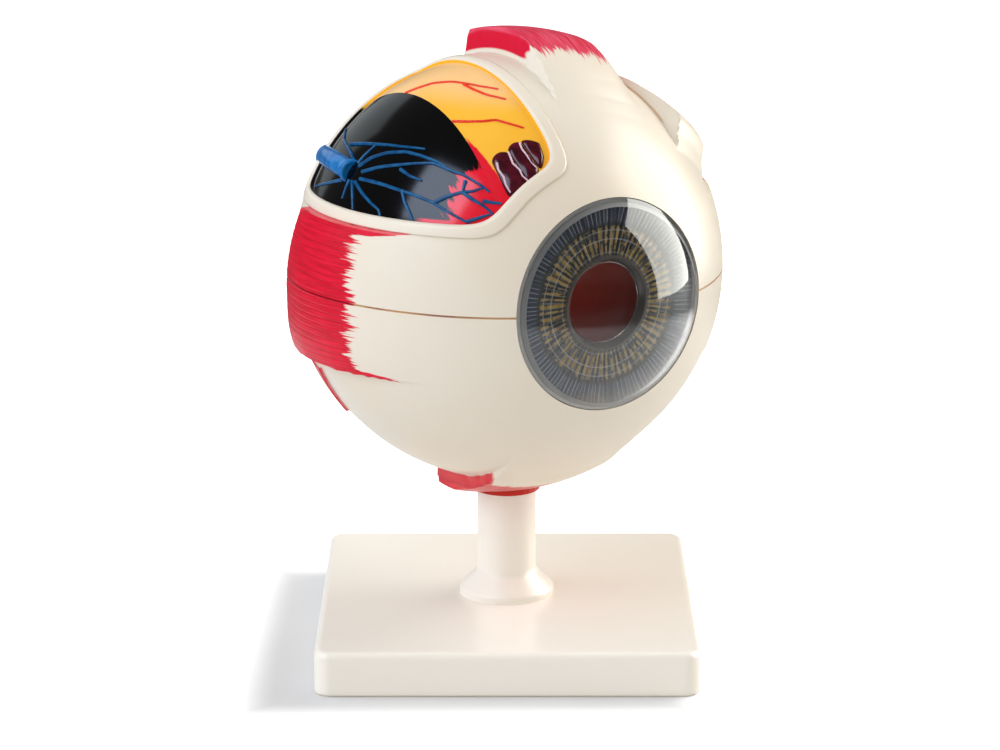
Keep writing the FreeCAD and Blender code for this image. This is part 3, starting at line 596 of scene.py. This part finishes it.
def inside_rule(place):
    """Choroid halves: dark red with vessels outside, orange retina with vessels inside."""
    swirl = node(place.tree, "TexNoise", {"Vector": place, "Scale": 0.06, "Detail": 3.0})
    bent = node(place.tree, "VectorMath", [swirl.outputs["Color"], (26.0, 26.0, 26.0), place],
                operation="MULTIPLY_ADD")
    web = outputs(node(place.tree, "TexVoronoi", {"Vector": bent.outputs[0], "Scale": 0.085},
                       feature="DISTANCE_TO_EDGE"))["Distance"]
    outside = blend(ramp(web, 0.05, 0.02), (120, 18, 26), (24, 84, 150))
    disc_at = far_from(place, (-13.5, -50.3, 0.0))
    ground = blend(noise(place, 0.2, 3), (226, 96, 40), (238, 122, 58))
    fine = ramp(web, 0.035, 0.012) * ramp(disc_at, 60.0, 8.0)
    ground = blend(fine, ground, (170, 20, 22))
    spot = ramp(far_from(place, (2.0, -52.0, -1.0)), 6.5, 1.0)
    ground = blend(spot * 0.7, ground, (150, 40, 20))
    ground = blend(ramp(disc_at, 5.6, 5.0), ground, (250, 226, 150))
    return blend(ramp(far_from(place), 53.9, 53.3), outside, ground), 0.0


def nerve_rule(place):
    """Ivory sheath, with yellow fibre bundles and the two central vessels at the cut end."""
    own = mapped(place, (0, 0, math.radians(NERVE_TURN)))
    x, y, z = split(own)
    at_end = ramp(y, -73.0, -73.2)
    cells = node(place.tree, "TexVoronoi", {"Vector": own, "Scale": 0.55}).outputs["Color"]
    tone = Value(node(place.tree, "SeparateColor", [cells]).outputs[0])
    fibre = blend(tone, (244, 206, 96), (250, 226, 150))
    colour = blend(ramp(hypot(x, z), 8.0, 7.7) * at_end, (240, 234, 220), fibre)
    for side, tint in ((1, (200, 20, 30)), (-1, (10, 80, 160))):
        spot = ramp(far_from(own, (1.3 * side, -74.0, 0.2 * side)), 1.15, 0.95)
        colour = blend(spot * at_end, colour, tint)
    return colour, 0.0


def iris_rule(place):
    """Navy, with fine pale spokes round the edge, dark bands and ochre marks nearer the pupil."""
    x, _, z = split(place)
    ring = hypot(x, z)
    angle = z.math("ARCTAN2", x)

    def rays(count, bend, seed, detail=2):
        spoke = combined(x / ring * count, z / ring * count, ring * bend + seed)
        return noise(spoke, 1.0, detail, 0.55)

    def spokes(count, wobble, low, high):
        """Even fine lines, count of them all round, each a little off its place."""
        turn = rays(9.0, 0.10, 9.0, 1) * wobble + angle * count
        return ramp(turn.math("SINE"), low, high)

    def band(middle, half, fade):
        return ramp(abs(ring - middle), half + fade, half - fade)

    outer = ramp(ring, 21.4, 22.8)
    inner = ramp(ring, 21.4, 20.4) * ramp(ring, 12.8, 13.8)
    ochre = ramp(rays(9.0, 0.45, 31.0), 0.38, 0.52) * inner * spokes(64, 5.0, -0.5, 0.5)
    light = spokes(124, 5.0, 0.55, 0.95) * outer * ramp(rays(12.0, 0.02, 71.0), 0.30, 0.55)
    colour = blend(ramp(rays(5.0, 0.05, 0.0), 0.35, 0.65), (10, 12, 20), (36, 38, 44))
    for mask, strength, tone in (
            (outer, 0.8, (22, 34, 60)),
            (band(21.0, 1.0, 0.6), 0.8, (8, 8, 14)),
            (band(15.8, 1.5, 0.6), 0.8, (8, 8, 14)),
            (ochre, 0.85, (172, 138, 56)),
            (spokes(92, 6.0, 0.6, 0.95) * inner, 0.4, (132, 134, 132)),
            (light, 0.58, (160, 168, 176)),
            # three fine pale rings all round: painted highlights, the lamp's glint on the disc's
            # steps
            (band(19.9, 0.14, 0.12), 0.45, (176, 178, 178)),
            (band(17.5, 0.14, 0.12), 0.55, (176, 178, 178)),
            (band(13.9, 0.14, 0.12), 0.3, (176, 178, 178)),
            (band(28.9, 0.3, 0.2), 0.5, (12, 14, 20)),
            (ramp(ring, PUPIL_FRONT + 1.2, PUPIL_FRONT + 0.4), 0.5, (112, 100, 88))):
        colour = blend(mask * strength, colour, tone)
    return colour, light * 0.6


def metal(name, tone, rough):
    material, tree, shader = new_material(name)
    lathed = noise(stretched(stand_place(tree), (0.2, 0.2, 6.0)), 1.0, 3)
    dent = node(tree, "Bump", {"Height": lathed, "Distance": 0.00005, "Strength": 0.3})
    feed(shader, {"Base Color": blend(lathed, tone, darker(tone, 0.86)), "Metallic": 1.0,
                  "Roughness": lathed * 0.15 + rough, "Normal": dent.outputs[0]})
    return material


def clear(name, tint, transmission=1.0, rough=0.02, see_through=0.92, index=1.49):
    """Clear plastic that lets lamp light through, so what is behind it stays lit."""
    material, tree, shader = new_material(name)
    faint = noise(use_group(tree, EYE_PLACE)["Place"], 0.25, 3)
    feed(shader, {"Base Color": blend(faint, tint, darker(tint, 0.985)),
                  "Roughness": faint * 0.02 + rough, "IOR": index,
                  "Transmission Weight": transmission})
    passing = node(tree, "BsdfTransparent", {"Color": tint})
    in_shadow = outputs(node(tree, "LightPath"))["Is Shadow Ray"] * see_through
    mixed = node(tree, "MixShader", [in_shadow, shader.outputs[0], passing.outputs[0]])
    feed(tree.nodes["Material Output"], {"Surface": mixed.outputs[0]})
    return material


# ------------------------------------------------------------------ modelling helpers
def deselect():
    for obj in bpy.context.view_layer.objects:
        obj.select_set(False)


def only(obj):
    deselect()
    obj.select_set(True)
    bpy.context.view_layer.objects.active = obj


def read(piece):
    co = np.empty(len(piece.data.vertices) * 3)
    piece.data.vertices.foreach_get("co", co)
    return co.reshape(-1, 3)


def write(piece, co):
    piece.data.vertices.foreach_set("co", np.asarray(co, float).ravel())
    piece.data.update()


@contextlib.contextmanager
def editing(piece):
    """The piece alone in edit mode, with all of it selected."""
    only(piece)
    bpy.ops.object.mode_set(mode="EDIT")
    bpy.ops.mesh.select_all(action="SELECT")
    yield
    bpy.ops.object.mode_set(mode="OBJECT")


def net(name, across, along, place, closed=False):
    """A grid laid over a surface: place turns (0..1, 0..1) into points."""
    deselect()
    bpy.ops.mesh.primitive_grid_add(x_subdivisions=across, y_subdivisions=along, size=1)
    piece = bpy.context.object
    piece.name = name
    co = read(piece)
    write(piece, place(co[:, 0] + 0.5, co[:, 1] + 0.5))
    if closed:
        with editing(piece):
            bpy.ops.mesh.remove_doubles(threshold=DOUBLES)
    return piece


def apply_modifier(piece, kind, **settings):
    only(piece)
    modifier = piece.modifiers.new(kind.title(), kind)
    for key, value in settings.items():
        setattr(modifier, key, value)
    bpy.ops.object.modifier_apply(modifier=modifier.name)


def boolean(piece, tool, operation):
    apply_modifier(piece, "BOOLEAN", operation=operation, object=tool, solver="MANIFOLD")


def drop(*pieces):
    for piece in pieces:
        bpy.data.objects.remove(piece)


def joined(name, *pieces):
    deselect()
    for piece in pieces:
        piece.select_set(True)
    bpy.context.view_layer.objects.active = pieces[0]
    bpy.ops.object.join()
    pieces[0].name = name
    return pieces[0]


def smooth(piece, angle=None):
    only(piece)
    if angle is None:
        bpy.ops.object.shade_smooth()
    else:
        bpy.ops.object.shade_smooth_by_angle(angle=math.radians(angle))


def outward(piece):
    with editing(piece):
        bpy.ops.mesh.normals_make_consistent(inside=False)


def fit(piece, name, material, body, slot, *replaced, angle=None):
    """Finishes an eye piece: metres, turned and lifted onto the stand, dressed and placed."""
    smooth(piece, angle)
    piece.name = name
    piece.scale = (MM, MM, MM)
    piece.rotation_euler = (0, 0, math.radians(180 + EYE_TURN))
    piece.location = (0, 0, BALL_HEIGHT * MM)
    only(piece)
    bpy.ops.object.transform_apply()
    piece.data.materials.clear()
    piece.data.materials.append(material)
    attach(piece, body)
    if replaced:
        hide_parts(*replaced)
    return piece


def soft_step(value, start, end):
    share = np.clip((value - start) / (end - start), 0, 1)
    return share * share * (3 - 2 * share)


def smooth_min(a, b, width):
    share = np.maximum(width - np.abs(a - b), 0) / width
    return np.minimum(a, b) - share ** 3 * width / 6


def unit(points):
    return points / np.linalg.norm(points, axis=-1, keepdims=True)


def window_depth(points):
    """How far points of the ball are inside the window's outline, as the paint has it."""
    x, y, z = (BALL * unit(points)).T
    depth = smooth_min(z - WINDOW_BOTTOM, x - WINDOW_SIDE, WINDOW_CORNER)
    depth = smooth_min(depth, y + WINDOW_BACK, WINDOW_CORNER)
    return smooth_min(depth, np.hypot(x, z) - WINDOW_FRONT, WINDOW_CORNER)


def on_ball(round_from_front, up, radius):
    """Points from degrees round from straight ahead and degrees up."""
    a, b = np.radians(round_from_front), np.radians(up)
    return np.stack([np.sin(a) * np.cos(b), np.cos(a) * np.cos(b), np.sin(b)], -1) * np.reshape(
        radius, (-1, 1) if np.ndim(radius) else ())


# ------------------------------------------------------------------ the white coat
def muscle_height(points):
    """How far the coat stands above the ball, for each point."""
    height = np.zeros(len(points))
    for muscle in MUSCLES.values():
        tilt, spin = math.radians(muscle["tilt"]), math.radians(muscle["spin"])
        x, y, z = points.T
        level = x * math.cos(tilt) - z * math.sin(tilt)
        above = x * math.sin(tilt) + z * math.cos(tilt)
        across = level * math.cos(spin) + y * math.sin(spin)
        along = -level * math.sin(spin) + y * math.cos(spin)
        places, rises = zip(*muscle["rise"])
        body = np.interp(along, places, rises) * (above > 0)
        if "swell" in muscle:
            start, end, share = muscle["swell"]
            body = body * (1 + share * soft_step(across, start, end))
        if muscle["fade"]:
            body = body * soft_step(across * np.sign(muscle["fade"][1]), abs(muscle["fade"][1]),
                                    muscle["fade"][0] * np.sign(muscle["fade"][1]))
        for share_across, share_along, distance in muscle["walls"]:
            beside = share_across * across + share_along * along
            scale = distance / np.where(beside > 0.01, beside, 0.01)
            if distance < 0:
                scale = np.where(beside < -0.01, distance / np.minimum(beside, -0.01), 0)
                scale = np.where(scale > 0, 2 - scale, 0)
            body = smooth_min(body, np.clip(BALL * (scale - 1), -1, 20), 0.35)
        height = np.maximum(height, body)
    return height


def sphere(radius, rings):
    """A ball with its poles on the optical axis."""
    deselect()
    bpy.ops.mesh.primitive_uv_sphere_add(segments=150, ring_count=rings, radius=radius,
                                         rotation=(math.radians(-90), 0, 0))
    bpy.ops.object.transform_apply()
    return bpy.context.object


def coat():
    """The outside of the whole sclera, with the muscles, and sunk where the window is."""
    ball = sphere(BALL, 75)
    with editing(ball):
        bpy.ops.mesh.subdivide(number_cuts=3)
    points = BALL * unit(read(ball))
    depth = window_depth(points)
    lip = 0.12 * soft_step(depth, -5.0, -1.5)
    height = np.maximum(muscle_height(points), lip)
    height = height + (RECESS_FLOOR - 0.3 - BALL - height) * soft_step(depth, -0.6, 0.0)
    write(ball, points * (1 + height / BALL)[:, None])
    return ball


def bisect(piece, at, facing, cut_off=True):
    """Cuts off everything beyond a plane, or only adds a line of edges where it passes."""
    with editing(piece):
        bpy.ops.mesh.bisect(plane_co=at, plane_no=facing, clear_outer=cut_off)


def copy_of(piece, name):
    only(piece)
    bpy.ops.object.duplicate()
    made = bpy.context.object
    made.name = name
    return made


def rod(radius, start, end, axis="Z", at=(0, 0), vertices=64):
    """A cylinder from start to end along an axis."""
    deselect()
    turn = {"Z": (0, 0, 0), "Y": (math.radians(-90), 0, 0)}[axis]
    middle = (start + end) / 2
    place = (at[0], at[1], middle) if axis == "Z" else (at[0], middle, at[1])
    bpy.ops.mesh.primitive_cylinder_add(vertices=vertices, radius=radius, depth=abs(end - start),
                                        location=place, rotation=turn)
    bpy.ops.object.transform_apply()
    return bpy.context.object


def half_shell(ball, name, upper):
    """One half of the sclera: coat, inner wall, flat rim and the walls of the front opening."""
    outer = copy_of(ball, name)
    keep = 1 if upper else -1
    bisect(outer, (0, LIMBUS_PLANE, 0), (0, 1, 0))
    bisect(outer, (0, 0, 0), (0, 0, -keep))
    bisect(outer, (0, 0, keep * SEAM_HEIGHT), (0, 0, 1), cut_off=False)
    co = read(outer)
    at_seam = np.abs(co[:, 2]) < 0.01
    inward = unit(co) * SEAM_DEPTH
    inward[:, 2] = 0
    co[at_seam] -= inward[at_seam]
    write(outer, co)
    inner = sphere(SHELL_INNER, 76)
    bisect(inner, (0, math.sqrt(SHELL_INNER ** 2 - LIMBUS ** 2), 0), (0, 1, 0))
    bisect(inner, (0, 0, 0), (0, 0, -keep))
    shell = joined(name, outer, inner)
    with editing(shell):
        bpy.ops.mesh.select_all(action="DESELECT")
        bpy.ops.mesh.select_non_manifold()
        bpy.ops.mesh.bridge_edge_loops()
    outward(shell)
    return shell


def nerve_bar(radius, start, end):
    bar = rod(radius, -start, -end, "Y")
    bar.rotation_euler = (0, 0, -math.radians(NERVE_TURN))
    only(bar)
    bpy.ops.object.transform_apply()
    return bar


def make_sclera(finish):
    ball = coat()
    upper = half_shell(ball, "upper_sclera", True)
    lower = half_shell(ball, "lower_sclera", False)
    drop(ball)
    hole = nerve_bar(NERVE_RADIUS + 0.3, 40, 90)
    boolean(upper, hole, "DIFFERENCE")
    boolean(lower, hole, "DIFFERENCE")
    seat = rod(SEAT_RADIUS, -SEAT_DROP, -58.5, vertices=128)
    boolean(lower, seat, "UNION")
    socket = rod(SOCKET_RADIUS, -SEAT_DROP - 1, -SEAT_DROP + SOCKET_DEPTH)
    boolean(lower, socket, "DIFFERENCE")
    drop(hole, seat, socket)
    for half, name, body in ((upper, "upper_sclera", "upper_shell"),
                             (lower, "lower_sclera", "eyeball")):
        fit(half, name, finish, body, "sclera_ivory", name + "_shell", angle=40)


# ------------------------------------------------------------------ the window
WINDOW_MIDDLE = unit(np.array([33.0, 12.0, 46.0]))


def window_ring(depth_wanted, turns):
    """Points of the ball on the line at one depth inside the outline, for turns 0..1."""
    east = unit(np.cross(WINDOW_MIDDLE, (0, 0, 1.0)))
    north = np.cross(east, WINDOW_MIDDLE)
    angle = turns * 2 * math.pi
    aim = np.cos(angle)[:, None] * east + np.sin(angle)[:, None] * north
    low, high = np.zeros(len(turns)), np.full(len(turns), 1.5)
    for _ in range(40):
        middle = (low + high) / 2
        at = np.cos(middle)[:, None] * WINDOW_MIDDLE + np.sin(middle)[:, None] * aim
        within = window_depth(at) > depth_wanted
        low, high = np.where(within, middle, low), np.where(within, high, middle)
    return np.cos(low)[:, None] * WINDOW_MIDDLE + np.sin(low)[:, None] * aim


def make_window_rim(finish):
    """The faint lip round the window, its rounded edge and the wall down to the floor."""
    profile = [(-2.9, 60.02), (-2.5, 60.085), (-2.1, 60.13), (-1.7, 60.155), (-1.3, 60.17),
               (-1.0, 60.175), (-0.75, 60.17), (-0.5, 60.14), (-0.25, 60.02), (0.0, 59.75),
               (0.03, 59.4), (0.05, 59.0), (0.07, 58.3), (0.09, RECESS_FLOOR + 0.2)]
    rings = 400

    def place(u, v):
        row = np.rint(v * (len(profile) - 1)).astype(int)
        points = np.zeros((len(u), 3))
        for index, (depth, radius) in enumerate(profile):
            chosen = row == index
            points[chosen] = window_ring(depth, u[chosen]) * radius
        return points

    rim = net("window_rim", rings, len(profile) - 1, place, closed=True)
    apply_modifier(rim, "SOLIDIFY", thickness=0.5, offset=-1)
    fit(rim, "window_rim", finish, "upper_shell", "sclera_ivory")
    return rim


def make_plates(choroid_finish, retina_finish):
    """Choroid and retina fields: nets between the window's outline and their common line."""
    edge = window_ring(0.12, np.linspace(0, 1, 3600, endpoint=False))
    temporal = edge[:, 0] * BALL > CHOROID_SIDE
    first = np.flatnonzero(temporal & ~np.roll(temporal, 1))[0]
    edge = np.roll(edge, -first, axis=0)
    split_at = int(temporal.sum())
    side = CHOROID_SIDE / BALL
    tall = math.sqrt(1 - side ** 2)

    def strip(points, name, radius, finish, replaced, slot):
        """Lays a net from the common line, sideways, to the outline."""
        lengths = np.r_[0, np.cumsum(np.linalg.norm(np.diff(points, axis=0), axis=1))]
        lengths /= lengths[-1]
        first_turn = math.atan2(points[0][1], points[0][2])
        last_turn = math.atan2(points[-1][1], points[-1][2])

        def place(u, v):
            rim = np.stack([np.interp(u, lengths, points[:, i]) for i in range(3)], -1)
            angle = first_turn + (last_turn - first_turn) * u
            line = np.stack([np.full(len(u), side), tall * np.sin(angle), tall * np.cos(angle)], -1)
            return unit(line * (1 - v)[:, None] + rim * v[:, None]) * radius

        piece = net(name, 260, 120, place)
        outward(piece)
        apply_modifier(piece, "SOLIDIFY", thickness=1.5, offset=-1)
        fit(piece, name, finish, "upper_shell", slot, replaced, angle=50)

    strip(edge[:split_at], "choroid_plate", CHOROID_FACE, choroid_finish, "choroid_inlay",
          "choroid_black")
    strip(np.r_[edge[split_at:], edge[:1]], "retina_plate", RETINA_SKIN, retina_finish,
          "retina_inlay", "retina_yellow")


def tubes(name, routes, radius, width, material, body, slot, lift=1.0, taper=0.75):
    """Round threads that follow routes on the ball, half sunk in its surface."""
    data = bpy.data.curves.new(name, "CURVE")
    data.dimensions = "3D"
    data.bevel_depth = width / 2
    data.bevel_resolution = 3
    data.resolution_u = 6
    data.use_fill_caps = True
    for route in routes:
        points = on_ball([p[0] for p in route], [p[1] for p in route], radius)
        steps = np.linspace(0, len(points) - 1, (len(points) - 1) * 4 + 1)
        dense = np.stack([np.interp(steps, range(len(points)), points[:, i]) for i in range(3)], -1)
        dense = unit(dense) * radius
        spline = data.splines.new("NURBS")
        spline.points.add(len(dense) - 1)
        for index, point in enumerate(dense):
            spline.points[index].co = (*point, 1)
            share = index / (len(dense) - 1)
            spline.points[index].radius = 1 - (1 - taper) * share
        spline.order_u = 4
        spline.use_endpoint_u = True
    thread = bpy.data.objects.new(name, data)
    scene.collection.objects.link(thread)
    only(thread)
    bpy.ops.object.convert(target="MESH")
    thread = bpy.context.object
    return fit(thread, name, material, body, slot)


def make_vortex_vein(finish):
    """The vein's trunk and hub: a bar that lies on the choroid, with a rounded rim."""
    hub, tail = on_ball([90.1, 126.5], [33.2, 31.0], 1.0)
    start, end = hub * 59.6, tail * 59.5
    along = unit(end - start)
    out = unit((hub + tail) / 2)
    out = unit(out - along * (out @ along))
    side = np.cross(along, out)
    length = float(np.linalg.norm(end - start))
    # from the dished face of the hub, over its rim and down the trunk to the collar at its end
    profile = [(0.0, 0.9), (1.3, 0.75), (2.2, 0.15), (2.8, -0.35), (3.3, -0.15), (3.5, 0.5),
               (3.35, 1.2), (3.05, 1.9), (2.9, 2.8)]
    profile += [(2.9, place) for place in np.linspace(4.0, length - 3.0, 12)]
    profile += [(3.0, length - 2.2), (3.35, length - 1.5), (3.45, length - 0.9),
                (3.2, length - 0.3), (2.6, length), (0.0, length)]
    vein = turned("vortex_trunk", profile, 48)
    flat = read(vein)
    middle = unit(start + along * flat[:, 1:2]) * 58.9
    write(vein, middle + flat[:, 0:1] * side + flat[:, 2:3] * 0.92 * out)
    outward(vein)
    apply_modifier(vein, "SUBSURF", levels=1, render_levels=1)
    fit(vein, "vortex_trunk", finish, "upper_shell", "vein_blue", "vortex_vein")


def make_ciliary(finish, line_finish):
    """Three rounded lobes side by side, with a pale thread along each."""
    heads = on_ball(*zip((37.5, 42.0), (32.0, 44.9), (27.0, 47.9), (19.4, 47.2)), 1.0)
    feet = on_ball(*zip((30.8, 30.4), (24.5, 34.3), (20.4, 38.1), (18.4, 42.0)), 1.0)
    lobes = []
    for index in range(3):
        def place(u, v):
            head = heads[index] * (1 - u)[:, None] + heads[index + 1] * u[:, None]
            foot = feet[index] * (1 - u)[:, None] + feet[index + 1] * u[:, None]
            bulge = 1 - (2 * u - 1) ** 2
            end = np.sqrt(np.clip(1 - (np.clip(np.abs(2 * v - 1) - 0.6, 0, 1) / 0.4) ** 2, 0, 1))
            reach = -0.07 * bulge + v * (1 + 0.14 * bulge)
            flat = unit(head * (1 - reach)[:, None] + foot * reach[:, None])
            ripple = 0.12 * np.sin(v * 9 + u * 3) * bulge
            return flat * (57.9 + end * (1.3 + ripple + 0.75 * np.sqrt(bulge)))[:, None]

        lobes.append(net("lobe", 26, 40, place))
    body = joined("ciliary_lobes", *lobes)
    outward(body)
    apply_modifier(body, "SOLIDIFY", thickness=0.4, offset=-1)
    fit(body, "ciliary_lobes", finish, "upper_shell", "ciliary_maroon", "ciliary_inlay")
    tubes("ciliary_threads", CILIARY_LINES, 59.75, 0.6, line_finish, "upper_shell",
          "ciliary_maroon")


# ------------------------------------------------------------------ the clear front
def turned(name, profile, steps=192):
    """A profile of (radius, distance ahead), spun round the optical axis."""
    deselect()
    bpy.ops.mesh.primitive_circle_add(vertices=len(profile), radius=1)
    piece = bpy.context.object
    piece.name = name
    write(piece, [(ring, ahead, 0) for ring, ahead in profile])
    with editing(piece):
        bpy.ops.mesh.spin(steps=steps, angle=2 * math.pi, center=(0, 0, 0), axis=(0, 1, 0))
        bpy.ops.mesh.select_all(action="SELECT")
        bpy.ops.mesh.remove_doubles(threshold=DOUBLES)
        bpy.ops.mesh.delete_loose(use_verts=True, use_edges=True, use_faces=False)
    outward(piece)
    return piece


def make_cornea(finish, rim_finish):
    """The dome, with a frosted foot that stands in the ball's opening."""
    centre = LIMBUS_PLANE - math.sqrt(CORNEA_CURVE ** 2 - DISC ** 2)
    top = math.asin(DISC / CORNEA_CURVE)
    inside = CORNEA_CURVE - CORNEA_WALL
    low = math.asin((DISC - 1.7) / inside)
    profile = [(CORNEA_CURVE * math.sin(a), centre + CORNEA_CURVE * math.cos(a))
               for a in np.linspace(0, top, 48)]
    profile += [(DISC, LIMBUS_PLANE - 1.0), (DISC - 1.7, LIMBUS_PLANE - 1.0)]
    profile += [(inside * math.sin(a), centre + inside * math.cos(a))
                for a in np.linspace(low, 0, 44)]
    dome = turned("cornea_dome", profile)
    frosted = []
    for face in dome.data.polygons:
        x, ahead, z = face.center
        inward = face.normal.x * x + face.normal.z * z < 0
        frosted.append(int(ahead < LIMBUS_PLANE - 0.3 or inward and ahead < LIMBUS_PLANE + 0.5))
    fit(dome, "cornea_dome", finish, "cornea", "cornea_clear", "cornea", angle=35)
    dome.data.materials.append(rim_finish)
    dome.data.polygons.foreach_set("material_index", frosted)


def make_iris(finish, ring_finish):
    """The iris with its low radial folds, and the clear bevelled ring round the pupil."""
    back = IRIS_FRONT - IRIS_THICK
    rows = [(PUPIL_FRONT, IRIS_FRONT - 0.25), (PUPIL_FRONT + 0.15, IRIS_FRONT - 0.08)]
    rows += [(r, IRIS_FRONT - 0.05) for r in np.linspace(12.8, 28.6, 24)]
    rows += [(DISC, IRIS_FRONT - 0.3), (DISC, back), (PUPIL_BACK + 0.5, back)]
    disc = turned("iris_disc", rows, 540)
    x, ahead, z = read(disc).T
    ring, angle = np.hypot(x, z), np.arctan2(z, x)
    folds = np.sin(angle * 60 + 2 * np.sin(angle * 7)) + 0.6 * np.sin(angle * 97 + ring * 0.15)
    on_face = ahead > IRIS_FRONT - 0.06
    fade = soft_step(ring, 12.4, 14) * soft_step(ring, 28.8, 27.5)
    dish = -0.25 * soft_step(ring, 22.5, 20.5) * soft_step(ring, 12.5, 13.5)
    ahead = ahead + ((0.07 * folds - 0.12) * fade + dish) * on_face
    write(disc, np.stack([x, ahead, z], -1))
    fit(disc, "iris_disc", finish, "iris", "iris_blue", "iris", angle=60)
    section = [(PUPIL_BACK, back), (PUPIL_BACK + 0.02, back + 0.2),
               (PUPIL_FRONT - 0.25, IRIS_FRONT - 0.1), (PUPIL_FRONT - 0.1, IRIS_FRONT - 0.01),
               (PUPIL_FRONT + 0.2, IRIS_FRONT), (PUPIL_FRONT + 0.35, IRIS_FRONT - 0.15),
               (PUPIL_FRONT, IRIS_FRONT - 0.4),
               (PUPIL_BACK + 0.6, back + 0.3), (PUPIL_BACK + 0.5, back)]
    bevel = turned("pupil_ring", section)
    fit(bevel, "pupil_ring", ring_finish, "iris", "iris_blue", angle=35)


def make_nerve(finish):
    """The stump: a sheath with a rolled edge, and bundles that bulge at the cut end."""
    end = NERVE_END - 0.45
    profile = [(NERVE_RADIUS, 57.0), (NERVE_RADIUS, 71.0)]
    profile += [(NERVE_RADIUS - inset, end - before) for inset, before in (
        (0.1, 0.7), (0.5, 0.1), (1.1, 0), (1.6, 0.4), (2.0, 0.7), (2.5, 0.3))]
    profile += [(6, end - 0.15), (4, end - 0.05), (2, end), (0.0, end), (0.0, 57.0)]
    stump = turned("nerve_stump", [(r, -y) for r, y in profile], 96)
    stump.rotation_euler = (0, 0, -math.radians(NERVE_TURN))
    only(stump)
    bpy.ops.object.transform_apply()
    fit(stump, "nerve_stump", finish, "eyeball", "sclera_ivory", "optic_nerve", angle=50)


def dress(finish, *names):
    """Gives CAD pieces a finish."""
    for name in names:
        piece = frame["nodes"][name]
        piece.data.materials.clear()
        piece.data.materials.append(finish)


# ------------------------------------------------------------------ build
studio()
coat_finish = plastic("ivory_coat", coat_rule, 0.32, 0.08, 0.18, shine=0.3)
make_sclera(coat_finish)
make_window_rim(coat_finish)
make_plates(plastic("choroid_paint", choroid_rule, 0.13, 0.05, 0.15),
            plastic("retina_paint", retina_rule, 0.24, 0.06, 0.15, shine=0.35))
MAROON = patchy((56, 9, 22), (88, 14, 32), (0.5, 0.16, 0.5), (0.35, 0.7), rough=0.6)
BLUE = patchy((4, 66, 114), (14, 92, 142), (0.45,) * 3, (0.3, 0.7))
TRUNK_BLUE = patchy((8, 96, 164), (34, 124, 192), (0.3,) * 3, (0.3, 0.7))
ARTERY_RED = patchy((224, 34, 12), (240, 62, 22), (0.4,) * 3, detail=2)
PALE = patchy((196, 150, 170), (232, 208, 216), (0.9,) * 3, detail=2)
blue = plastic("vein_paint", BLUE, 0.2, 0.1, 0.25)
tubes("choroid_veins", VEINS, CHOROID_FACE + 0.12, 1.15, blue, "upper_shell", "vein_blue",
      taper=0.55)
tubes("retina_arteries", ARTERIES, RETINA_SKIN, 0.9, plastic("artery_paint", ARTERY_RED, 0.3),
      "upper_shell", "retina_yellow")
make_vortex_vein(plastic("trunk_paint", TRUNK_BLUE, 0.2, 0.1, 0.2))
make_ciliary(plastic("ciliary_paint", MAROON, 0.15, 0.1, 0.3),
             plastic("thread_paint", PALE, 0.25))
make_cornea(clear("cornea_plastic", (0.99, 0.995, 1.0, 1)),
            clear("frosted_plastic", (0.42, 0.41, 0.40, 1), 0.3, 0.45))
make_iris(plastic("iris_print", iris_rule, 0.35, 0.1, 0.3),
          clear("pupil_ring_plastic", (0.92, 0.92, 0.9, 1), 1.0, 0.03))
make_nerve(plastic("nerve_coat", nerve_rule, 0.4))
dress(plastic("cream_plastic", cream_rule, 0.30, 0.04, 0.05, on_stand=True), "base_plate",
      "support_post")
dress(plastic("bush_plastic", cream_rule, 0.45, 0.1, 0.1, on_stand=True), "socket_bush")
dress(plastic("choroid_shell", inside_rule, 0.35), "upper_choroid_shell", "lower_choroid_shell")
dress(metal("pin_steel", srgb(200, 202, 206), 0.22), "swivel_pin", "post_stud", "rim_pins")
dress(metal("insert_brass", srgb(214, 178, 96), 0.28), "base_insert")
dress(clear("lens_plastic", (0.985, 0.985, 0.98, 1), index=1.2), "lens")
dress(clear("vitreous_plastic", srgb(246, 64, 42), 0.3, 0.3, 0.6, index=1.15), "vitreous_body")
